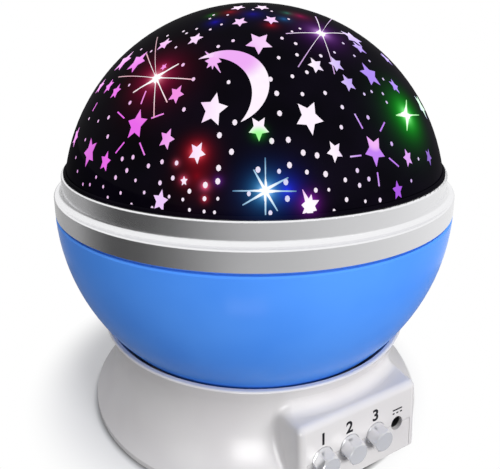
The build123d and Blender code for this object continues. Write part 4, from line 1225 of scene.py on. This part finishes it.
    def moon(self, aims: Array) -> MeshParts:
        """Crescent plugs between an outer and an inner circle.

        With t from one horn to the other and s from the outer arc to the inner one, the
        point is (1 - s) outer(t) + s inner(t), each arc swept evenly about its own centre.

        Args:
            aims: Unit vectors of the places of the crescents, one row each.

        Returns:
            The crescents' vertices and faces.
        """
        rows, columns = self.moon_rows, self.moon_columns
        out_centre, in_centre = (np.array(c[:2]) for c in (self.moon_outer_mm, self.moon_inner_mm))
        out_radius, in_radius = self.moon_outer_mm[2], self.moon_inner_mm[2]
        apart = in_centre - out_centre
        gap = float(np.hypot(*apart))
        along = (out_radius ** 2 - in_radius ** 2 + gap ** 2) / (2 * gap)
        toward = math.atan2(apart[1], apart[0])
        half = math.acos(along / out_radius)
        in_half = math.atan2(out_radius * math.sin(half), along - gap)
        t = np.linspace(self.horn_cut, 1 - self.horn_cut, rows)
        arcs = [centre + radius * on_circle(toward + start + 2 * (math.pi - start) * t)
                for centre, radius, start in ((out_centre, out_radius, half),
                                              (in_centre, in_radius, in_half))]
        s = np.linspace(0.0, 1.0, columns)[:, None]
        flat = (arcs[0][:, None] * (1 - s) + arcs[1][:, None] * s).reshape(1, -1, 2) * MM
        rim = np.concatenate([np.arange(columns)[::-1], np.arange(1, rows) * columns,
                              (rows - 1) * columns + np.arange(1, columns),
                              np.arange(rows - 2, 0, -1) * columns + columns - 1])
        return self.through_wall(aims, np.repeat(flat, len(aims), axis=0), rim,
                                 grid_faces(rows, columns)[:, ::-1])

    def zones(self) -> tuple[tuple[Array, float, str], ...]:
        """Direction, angle and colour of each zone of tinted windows."""
        aims = self.directions([z.centre_px for z in WINDOW_ZONES])
        return tuple((aim, z.reach_mm * MM / self.outer, z.colour)
                     for aim, z in zip(aims, WINDOW_ZONES))

    def halos(self) -> tuple[tuple[Array, float, Array], ...]:
        """Painted glow of lamp glare on the dome's paint.

        Returns:
            Direction, fading angle and linear colour of each halo, those behind last.
        """
        aims = self.directions([h.centre_px for h in HALOS])
        seen = [(aim, h.fade_mm * MM / self.outer, h.level * np.array(linear(h.colour)[:3]))
                for aim, h in zip(aims, HALOS)]
        fade = self.rear_fade_mm * MM / self.outer
        behind = [(r.aim(), fade, np.array(linear(r.painted_glow_colour)[:3])) for r in REAR_RAYS]
        return tuple(seen + behind)

    def build(self) -> None:
        """Make the windows and dress the dome."""
        dress(Slot.DOME, SmokedDomeShell("back_painted_dome", self.centre_z, self.halos()).build())
        lit = LitWindow("lit_clear_window", self.centre_z, self.zones()).build()
        dot_lit = LitWindow("lit_pin_window", self.centre_z, self.zones(), self.dot_tint,
                            self.dot_level).build()
        rear = self.rear_aims()
        chance = np.random.default_rng(self.seed)
        moons = np.stack([self.directions(self.moon_px), aim_at(*self.rear_moon_deg)])
        for name, parts, light in (
                ("dome_stars", self.stars(rear[RearWindow.STAR], chance), lit),
                ("dome_dashes", self.dashes(rear[RearWindow.DASH], chance), lit),
                ("dome_dots", self.dots(rear), dot_lit), ("dome_moon", self.moon(moons), lit)):
            parts.piece(name, light, self.body, Slot.DOME)
        for rays in BURSTS + REAR_RAYS:
            self.rays(rays, *rays.layout(self))

    def dots(self, rear: dict[RearWindow, Array]) -> MeshParts:
        """Dot windows of three sizes: those in the frame, and others behind.

        Args:
            rear: Directions behind for each kind of window.

        Returns:
            The dots' vertices and faces.
        """
        groups = ((BIG_DOT_MM, self.directions(BIG_DOTS)), (BIG_DOT_MM, rear[RearWindow.BIG_DOT]),
                  (DOT_MM, self.directions(DOTS)), (DOT_MM, rear[RearWindow.DOT]),
                  (SMALL_DOT_MM, self.directions(SMALL_DOTS)),
                  (SMALL_DOT_MM, rear[RearWindow.SMALL_DOT]))
        reach = np.concatenate([np.full(len(aims), size * MM) for size, aims in groups])
        aims = np.concatenate([aims for _, aims in groups])
        return self.plugs(aims, self.round_outlines(reach), 1)

    def stars(self, rear: Array, chance: np.random.Generator) -> MeshParts:
        """Star windows: those in the frame, and seeded ones behind.

        Args:
            rear: Directions of the stars behind, one row each.
            chance: Seeded numbers for their size and turn.

        Returns:
            The stars' vertices and faces.
        """
        points = self.directions([star for group in STARS.values() for star in group])
        aims = points[:, 0]
        flat = self.unroll(aims, points[:, 1:])[:, 0]
        turn = np.arctan2(flat[:, 1] / self.north_stretch, flat[:, 0])
        sizes = chance.choice([LARGE_MM, MEDIUM_MM, SMALL_MM, SMALL_MM], len(rear))
        seen = np.repeat(list(STARS), [len(group) for group in STARS.values()])
        reach = np.concatenate([seen, sizes]) * MM
        turn = np.concatenate([turn, chance.uniform(0.0, 2 * math.pi, len(rear))])
        return self.plugs(np.concatenate([aims, rear]), self.star_outlines(reach, turn),
                          self.star_rings)

    def dashes(self, rear: Array, chance: np.random.Generator) -> MeshParts:
        """Bar windows: those in the frame, and seeded ones behind.

        Args:
            rear: Directions of the bars behind, one row each.
            chance: Seeded numbers for their turn.

        Returns:
            The bars' vertices and faces.
        """
        ends = self.directions(DASHES)
        aims = unit(ends.sum(1))
        flat = self.unroll(aims, ends)
        turn = chance.uniform(0.0, 2 * math.pi, len(rear))
        behind = on_circle(turn) * self.rear_dash_mm * MM / 2
        along = np.concatenate([(flat[:, 1] - flat[:, 0]) / 2, behind])
        side = unit(along)[:, ::-1] * [-1.0, 1.0] * DASH_MM * MM / 2
        bars = np.stack([along - side, along + side, side, side - along, -side - along, -side], 1)
        return self.plugs(np.concatenate([aims, rear]), bars, 1)

    def rays(self, rays: Rays, aims: Array, flat: Array) -> None:
        """Make one window of rays over a lamp.

        Args:
            rays: Its name, widths and colours.
            aims: Direction of its centre, as one row.
            flat: East and north of its ray tips, one row each.
        """
        reach = float(np.linalg.norm(flat, axis=-1).max()) / self.outer
        light = LitRays(rays.name + "_light", self.centre_z, aims[0], reach, rays.core,
                        rays.tint, rays.tip).build()
        outline = self.ray_outline(flat, rays.core_mm * MM, rays.tip_mm * MM)
        self.plugs(aims, outline, self.ray_rings).piece(rays.name, light, self.body, Slot.DOME)


def dress(slot: Slot, material: bpy.types.Material, nodes: Sequence[str] = ()) -> None:
    """Give a finish to the frame's nodes of one slot.

    Args:
        slot: Material slot of the record.
        material: The finish.
        nodes: Names of the nodes, all those of the slot where left out.
    """
    found = [p["node"] for p in frame["record"]["subparts"] if p["material_slot"] == slot.value]
    for name in nodes or found:
        node = frame["nodes"][name]
        for place in node.material_slots:
            place.material = material
        LOG.info("%s: %s", name, material.name)


# ---------------------------------------------------------------- ball and base
@dataclass
class BallShell:
    """Blue bowl with the satin silver ring that carries the dome, and what stands inside.

    The bowl's gloss is set well under that of real glossy ABS, so it reflects little.
    """

    bowl: MouldedPlastic = MouldedPlastic("glossy_blue_abs", "#559bff", "#4d94fb", 0.2,
                                          specular=0.02, coat=0.06)
    ring: MouldedPlastic = MouldedPlastic("satin_silver_abs", "#f2f2f4", "#eeeef0", 0.2,
                                          metallic=0.92, cloud_mm=60.0, grain_mm=4.0,
                                          grain_depth_mm=0.0006)
    plate: MouldedPlastic = MouldedPlastic("matt_white_polystyrene", "#ecebe9", "#e2e1df", 0.55)
    column: MouldedPlastic = MouldedPlastic("matt_white_abs", "#e0e0de", "#d6d6d4", 0.5)
    gears: MouldedPlastic = MouldedPlastic("natural_acetal", "#ece8dc", "#e2ddce", 0.36,
                                           ior=1.48, cloud_mm=9.0)

    def build(self) -> None:
        """Dress the ball's nodes."""
        dress(Slot.BLUE, self.bowl.build())
        dress(Slot.RING, self.ring.build())
        dress(Slot.PLATE, self.plate.build())
        dress(Slot.COLUMN, self.column.build())
        dress(Slot.GEAR, self.gears.build())


@dataclass
class ControlBase:
    """White base with its printed panel."""

    body: str = "base"
    shell: MouldedPlastic = MouldedPlastic("glossy_white_abs", "#dbd9d9", "#d5d2d3", 0.25)
    button: MouldedPlastic = MouldedPlastic("glossy_white_button_abs", "#ededee", "#e6e6e8",
                                            0.2, metallic=0.65, grain_mm=0.9)
    panel_y: float = -0.055575
    panel_z: float = 0.0008
    lean: float = 0.05
    ink_above: float = 0.00006
    ink_below: float = 0.00004
    digit_height: float = 0.0034
    cap_share: float = 0.7
    digit_bold: float = 0.00011
    digit_z: float = 0.0145
    digit_x: tuple[float, ...] = (-0.0098, -0.0010, 0.0083)
    symbol_x: float = 0.0166
    symbol_z: float = 0.0143
    bar_length: float = 0.0036
    bar_thick: float = 0.0004
    bar_gap: float = 0.0011

    def on_panel(self, flat: Array, x: float, z: float) -> Array:
        """Points of the leaning panel from flat drawings.

        The panel's frame is X to the right, (0, lean, 1) up and (0, -1, lean) out.

        Args:
            flat: Right, up and out of each point, one row each.
            x: Place of the drawing's origin along X.
            z: Height of the drawing's origin.

        Returns:
            Points in the row frame, one row each.
        """
        axes = unit(np.array([[1.0, 0.0, 0.0], [0.0, self.lean, 1.0], [0.0, -1.0, self.lean]]))
        return flat @ axes + [x, self.panel_y + self.lean * (z - self.panel_z), z]

    def digit(self, number: int, x: float, ink: bpy.types.Material) -> None:
        """Print one plain digit over its button.

        Args:
            number: The digit.
            x: Place of its middle.
            ink: Its finish.
        """
        curve = bpy.data.curves.new(f"digit_{number}", "FONT")
        curve.body = str(number)
        curve.align_x = "CENTER"
        curve.size = self.digit_height / self.cap_share
        curve.offset = self.digit_bold
        curve.extrude = (self.ink_above + self.ink_below) / 2
        curve.resolution_u = 6
        text = bpy.data.objects.new("digit_text", curve)
        mesh = bpy.data.meshes.new_from_object(text)
        flat = np.empty(len(mesh.vertices) * 3)
        mesh.vertices.foreach_get("co", flat)
        flat = flat.reshape(-1, 3) + [0.0, 0.0, (self.ink_above - self.ink_below) / 2]
        parts = MeshParts()
        parts.add(self.on_panel(flat, x, self.digit_z),
                  *[np.array([tuple(face.vertices)]) for face in mesh.polygons])
        bpy.data.objects.remove(text)
        parts.piece(f"digit_{number}", ink, self.body, Slot.WHITE_SHELL)

    def bars(self, ink: bpy.types.Material) -> None:
        """Print the direct-current sign, a bar over three dashes, above the socket.

        Args:
            ink: Its finish.
        """
        half_bar, half_gap = self.bar_length / 2, self.bar_gap / 2
        dash = self.bar_length / 5
        rows = np.array([[-half_bar, half_bar, half_gap]]
                        + [[c * 2 * dash - dash / 2, c * 2 * dash + dash / 2, -half_gap]
                           for c in (-1, 0, 1)])
        left, right, middle = rows[:, :1], rows[:, 1:2], rows[:, 2:]
        x = np.concatenate([left, right, right, left] * 2, 1)
        half = np.array([-1, -1, 1, 1] * 2) * self.bar_thick / 2
        out = np.array([self.ink_above] * 4 + [-self.ink_below] * 4)
        flat = np.stack([x, middle + half, np.broadcast_to(out, x.shape)], -1)
        box = np.array([[0, 1, 2, 3], [7, 6, 5, 4], [0, 4, 5, 1], [1, 5, 6, 2], [2, 6, 7, 3],
                        [3, 7, 4, 0]])
        start = (np.arange(len(rows)) * 8)[:, None, None]
        parts = MeshParts()
        parts.add(self.on_panel(flat.reshape(-1, 3), self.symbol_x, self.symbol_z),
                  (start + box).reshape(-1, 4))
        parts.piece("direct_current_sign", ink, self.body, Slot.WHITE_SHELL)

    def build(self) -> None:
        """Dress the base's shells and print its panel."""
        dress(Slot.WHITE_SHELL, self.shell.build())
        dress(Slot.BUTTON, self.button.build())
        ink = PrintedInk().build()
        for number, x in enumerate(self.digit_x, 1):
            self.digit(number, x, ink)
        self.bars(ink)


@dataclass
class Works:
    """Drive, boards, lamps, cells and fasteners."""

    steel: DrawnMetal = DrawnMetal("zinc_plated_steel", "#c9c9cf", "#a5a5ac", 0.28)
    contact: DrawnMetal = DrawnMetal("nickel_spring_steel", "#d6d3cc", "#b7b3aa", 0.24)
    can: DrawnMetal = DrawnMetal("plated_motor_can", "#c4c4c6", "#9d9da1", 0.34)
    stem: MouldedPlastic = MouldedPlastic("light_grey_nylon", "#c2c2c2", "#b6b6b6", 0.4)
    black: MouldedPlastic = MouldedPlastic("black_moulded_case", "#1a1a1b", "#242426", 0.42)
    rubber: MouldedPlastic = MouldedPlastic("soft_rubber", "#26262a", "#303036", 0.75,
                                            specular=0.3, grain_mm=0.5, grain_depth_mm=0.02)
    lamps: tuple[tuple[Slot, str, str], ...] = (
        (Slot.LED_WHITE, "#f6f2e4", "#fff0d0"), (Slot.LED_RED, "#ff8878", "#ff2a18"),
        (Slot.LED_GREEN, "#9cf4a0", "#22e040"), (Slot.LED_BLUE, "#94a4ff", "#2a44ff"))
    band_share: float = 0.22
    band_edge: float = 0.0002

    def build(self) -> None:
        """Dress the works."""
        for slot, finish in ((Slot.STEEL, self.steel), (Slot.CONTACT, self.contact),
                             (Slot.MOTOR, self.can), (Slot.STEM, self.stem),
                             (Slot.BLACK, self.black), (Slot.RUBBER, self.rubber),
                             (Slot.BOARD, SolderMask())):
            dress(slot, finish.build())
        for slot, tint, light in self.lamps:
            dress(slot, LampEpoxy("lamp_epoxy_" + slot.value, tint, light).build())
        low, high = (corner[1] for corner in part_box("battery_1"))
        band, edge = (high - low) * self.band_share, self.band_edge
        far = ShrunkSleeve("cell_sleeve_far", high - band, high - band + edge)
        near = ShrunkSleeve("cell_sleeve_near", low + band, low + band - edge)
        dress(Slot.CELL, far.build(), ("battery_1", "battery_3"))
        dress(Slot.CELL, near.build(), ("battery_2", "battery_4"))


# ---------------------------------------------------------------- studio
@dataclass(frozen=True)
class Lamp:
    """Softbox turned towards the ball: place, size and power in watts."""

    name: str
    place: tuple[float, float, float]
    size: float
    power: float


def hang_card(name: str, rim: Array, low: float, high: float,
              material: bpy.types.Material) -> bpy.types.Mesh:
    """Stage an upright card that only glossy rays see.

    Args:
        name: Name of the new object.
        rim: Points of its plan, one row each.
        low: Height of its lower edge.
        high: Height of its upper edge.
        material: Its material.

    Returns:
        Its mesh, the lower edge's points first.
    """
    rows = [np.column_stack([rim, np.full(len(rim), z)]) for z in (low, high)]
    mesh = bpy.data.meshes.new(name)
    mesh.from_pydata(np.concatenate(rows).tolist(), [], grid_faces(2, len(rim)).tolist())
    mesh.materials.append(material)
    card = link_object(name, mesh)
    card.visible_camera = card.visible_diffuse = card.visible_shadow = False
    card.visible_transmission = card.visible_volume_scatter = False
    return mesh


@dataclass(frozen=True)
class Flag:
    """Curved upright card that only reflections see, black where the room is to look dark.

    Its grey runs straight between stops, each a turn about +Z in degrees and a level.
    """

    radius: float = 0.135
    low: float = 0.001
    high: float = 0.09
    stops: tuple[tuple[float, float], ...] = (
        (60, 1.0), (138, 0.38), (155, 0.34), (166, 0.16), (180, 0.03), (196, 0.035),
        (210, 0.11), (236, 0.37), (270, 0.56), (325, 0.82),
    )
    spokes: int = 120

    def build(self) -> None:
        """Make the card all the way round, with its grey as a vertex attribute."""
        paint = Paint("grey_card")
        read = add_node(paint.tree, "Attribute", {"attribute_name": "grey"})
        turn = np.arange(self.spokes + 1) * 2 * math.pi / self.spokes
        mesh = hang_card("flag", self.radius * on_circle(turn), self.low, self.high,
                         paint.shine(None, {"Strength": read.outputs["Fac"]}))
        level = np.interp(np.degrees(turn), *zip(*self.stops), period=360.0)
        grey = mesh.attributes.new("grey", "FLOAT", "POINT")
        grey.data.foreach_set("value", np.tile(level, 2))


@dataclass(frozen=True)
class Reflector:
    """Small lit card low in front that only reflections see, as a square glint on the base."""

    radius: float = 0.11
    low: float = 0.001
    high: float = 0.022
    turn_deg: tuple[float, float] = (230.0, 245.5)
    level: float = 7.5

    def build(self) -> None:
        """Make the card, an upright rectangle between two turns about +Z."""
        hang_card("reflector", self.radius * on_circle(np.radians(self.turn_deg)), self.low,
                  self.high, Paint("lit_card").shine({"Strength": self.level}, None))


@dataclass
class Studio:
    """Pale floor that fades into a white room, softboxes, a dark flag and a low card."""

    floor_radius: float = 3.0
    floor_rings: int = 24
    floor_spokes: int = 64
    floor_colour: str = "#c8c8ca"
    floor_bounce: str = "#4c4c50"
    floor_centre: tuple[float, float, float] = (-0.0055, 0.0085, 0.0)
    floor_near: float = 0.0495
    floor_far: float = 0.0725
    floor_lift: float = 0.26
    # Painted contact shadow round the base's foot: where it starts, where it ends and how dark it
    # is.
    contact_near: float = 0.0555
    contact_far: float = 0.057
    painted_shadow_level: float = 0.1
    mirror_shift: float = 0.08
    room_level: float = 0.36
    aim: tuple[float, float, float] = (0.0, 0.0, 0.06)
    lamps: tuple[Lamp, ...] = (
        Lamp("key_softbox", (0.19, -0.71, 0.28), 0.3, 4.8),
        Lamp("front_softbox", (-0.21, -0.52, 0.63), 0.3, 0.35),
        Lamp("left_softbox", (-0.66, -0.27, 0.17), 0.3, 1.25),
        Lamp("rim_softbox", (-0.35, 0.6, 0.5), 0.4, 0.5),
    )
    flag: Flag = Flag()
    reflector: Reflector = Reflector()

    def floor(self) -> None:
        """Lay the floor: a disc on polar rings, r growing with the square of its step.

        Its tone depends on the ray. The camera sees it lifted, and fading to white from floor_near
        to floor_far. Reflections see that fade mirror_shift further out, and diffuse light meets
        the darker bounce tone. Within contact_near of the axis, the lift and the white are cut to
        a dark level: a painted contact shadow round the base's foot.
        """
        rings, spokes = self.floor_rings, self.floor_spokes
        radius = self.floor_radius * (np.arange(rings + 1) / rings) ** 2
        flat = radius[:, None, None] * on_circle(np.arange(spokes + 1) * 2 * math.pi / spokes)
        grid = np.concatenate([flat, np.zeros_like(flat[..., :1])], -1)
        mesh = bpy.data.meshes.new("floor")
        mesh.from_pydata(grid.reshape(-1, 3).tolist(), [],
                         grid_faces(rings + 1, spokes + 1)[:, ::-1].tolist())
        floor = link_object("floor", mesh)
        paint = Paint("pale_floor")
        tree = paint.tree
        path = add_node(tree, "LightPath")
        length = add_node(tree, "VectorMath", {"operation": "DISTANCE", 1: self.floor_centre},
                          {0: paint.place})
        nearer = add_node(tree, "Math", {"operation": "MULTIPLY_ADD", 1: -self.mirror_shift},
                          {0: path.outputs["Is Glossy Ray"], 2: length.outputs["Value"]})
        ends = {"interpolation_type": "SMOOTHSTEP", 1: self.floor_near, 2: self.floor_far}
        fade = add_node(tree, "MapRange", ends, {0: nearer.outputs[0]})
        seen = add_node(tree, "Math", {"operation": "MAXIMUM"},
                        {0: path.outputs["Is Camera Ray"], 1: path.outputs["Is Glossy Ray"]})
        share = add_node(tree, "Math", {"operation": "MULTIPLY"},
                         {0: seen.outputs[0], 1: fade.outputs[0]})
        # Painted contact shadow: the lift and the white fall to a dark level near the base's foot.
        reach = add_node(tree, "VectorMath", {"operation": "LENGTH"}, {0: paint.place})
        painted_contact_shadow = add_node(tree, "MapRange", {1: self.contact_near, 2: self.contact_far,
                                               3: self.painted_shadow_level},
                            {0: reach.outputs["Value"]})
        tone = add_node(tree, "MixRGB", {"Color1": linear(self.floor_colour),
                                         "Color2": linear(self.floor_bounce)},
                        {"Fac": path.outputs["Is Diffuse Ray"]})
        matt = add_node(tree, "BsdfDiffuse", None, {"Color": tone.outputs[0]})
        level = add_node(tree, "Math", {"operation": "MULTIPLY", 1: self.floor_lift},
                         {0: path.outputs["Is Camera Ray"]})
        level = add_node(tree, "Math", {"operation": "MULTIPLY"},
                         {0: level.outputs[0], 1: painted_contact_shadow.outputs[0]})
        lift = add_node(tree, "Emission", None, {"Strength": level.outputs[0]})
        near = add_node(tree, "AddShader", None, {0: matt.outputs[0], 1: lift.outputs[0]})
        white = add_node(tree, "Emission", None, {"Strength": painted_contact_shadow.outputs[0]})
        mixed = add_node(tree, "MixShader", None, {0: share.outputs[0], 1: near.outputs[0],
                                                   2: white.outputs[0]})
        add_node(tree, "OutputMaterial", None, {"Surface": mixed.outputs[0]})
        mesh.materials.append(paint.material)

    def room(self) -> None:
        """Light the room: white where it is seen, plain level where it lights."""
        world = bpy.data.worlds.new("white_room")
        bpy.context.scene.world = world
        world.use_nodes = True
        tree = world.node_tree
        tree.nodes.clear()
        path = add_node(tree, "LightPath")
        seen = add_node(tree, "Math", {"operation": "MAXIMUM"},
                        {0: path.outputs["Is Camera Ray"], 1: path.outputs["Is Glossy Ray"]})
        seen = add_node(tree, "Math", {"operation": "MAXIMUM"},
                        {0: seen.outputs[0], 1: path.outputs["Is Transmission Ray"]})
        level = add_node(tree, "MapRange", {3: self.room_level, 4: 1.0}, {0: seen.outputs[0]})
        sky = add_node(tree, "Background", {"Color": linear("#ffffff")},
                       {"Strength": level.outputs[0]})
        add_node(tree, "OutputWorld", None, {"Surface": sky.outputs[0]})

    def light(self) -> None:
        """Hang the softboxes."""
        for lamp in self.lamps:
            data = bpy.data.lights.new(lamp.name, "AREA")
            data.size = lamp.size
            data.energy = lamp.power
            made = link_object(lamp.name, data)
            made.visible_glossy = False
            made.location = lamp.place
            aim = Vector(self.aim) - Vector(lamp.place)
            made.rotation_euler = aim.to_track_quat("-Z", "Y").to_euler()

    def build(self) -> None:
        """Build the studio."""
        bpy.context.scene.view_settings.view_transform = "Standard"
        self.floor()
        self.room()
        self.light()
        self.flag.build()
        self.reflector.build()


def main() -> None:
    """Build the camera, the dressed parts and the studio, and note the sizes."""
    logging.basicConfig(level=logging.INFO, format="%(message)s")
    view = Viewpoint()
    view.build()
    StarDome(view).build()
    BallShell().build()
    ControlBase().build()
    Works().build()
    Studio().build()


if __name__ == "__main__":
    main()
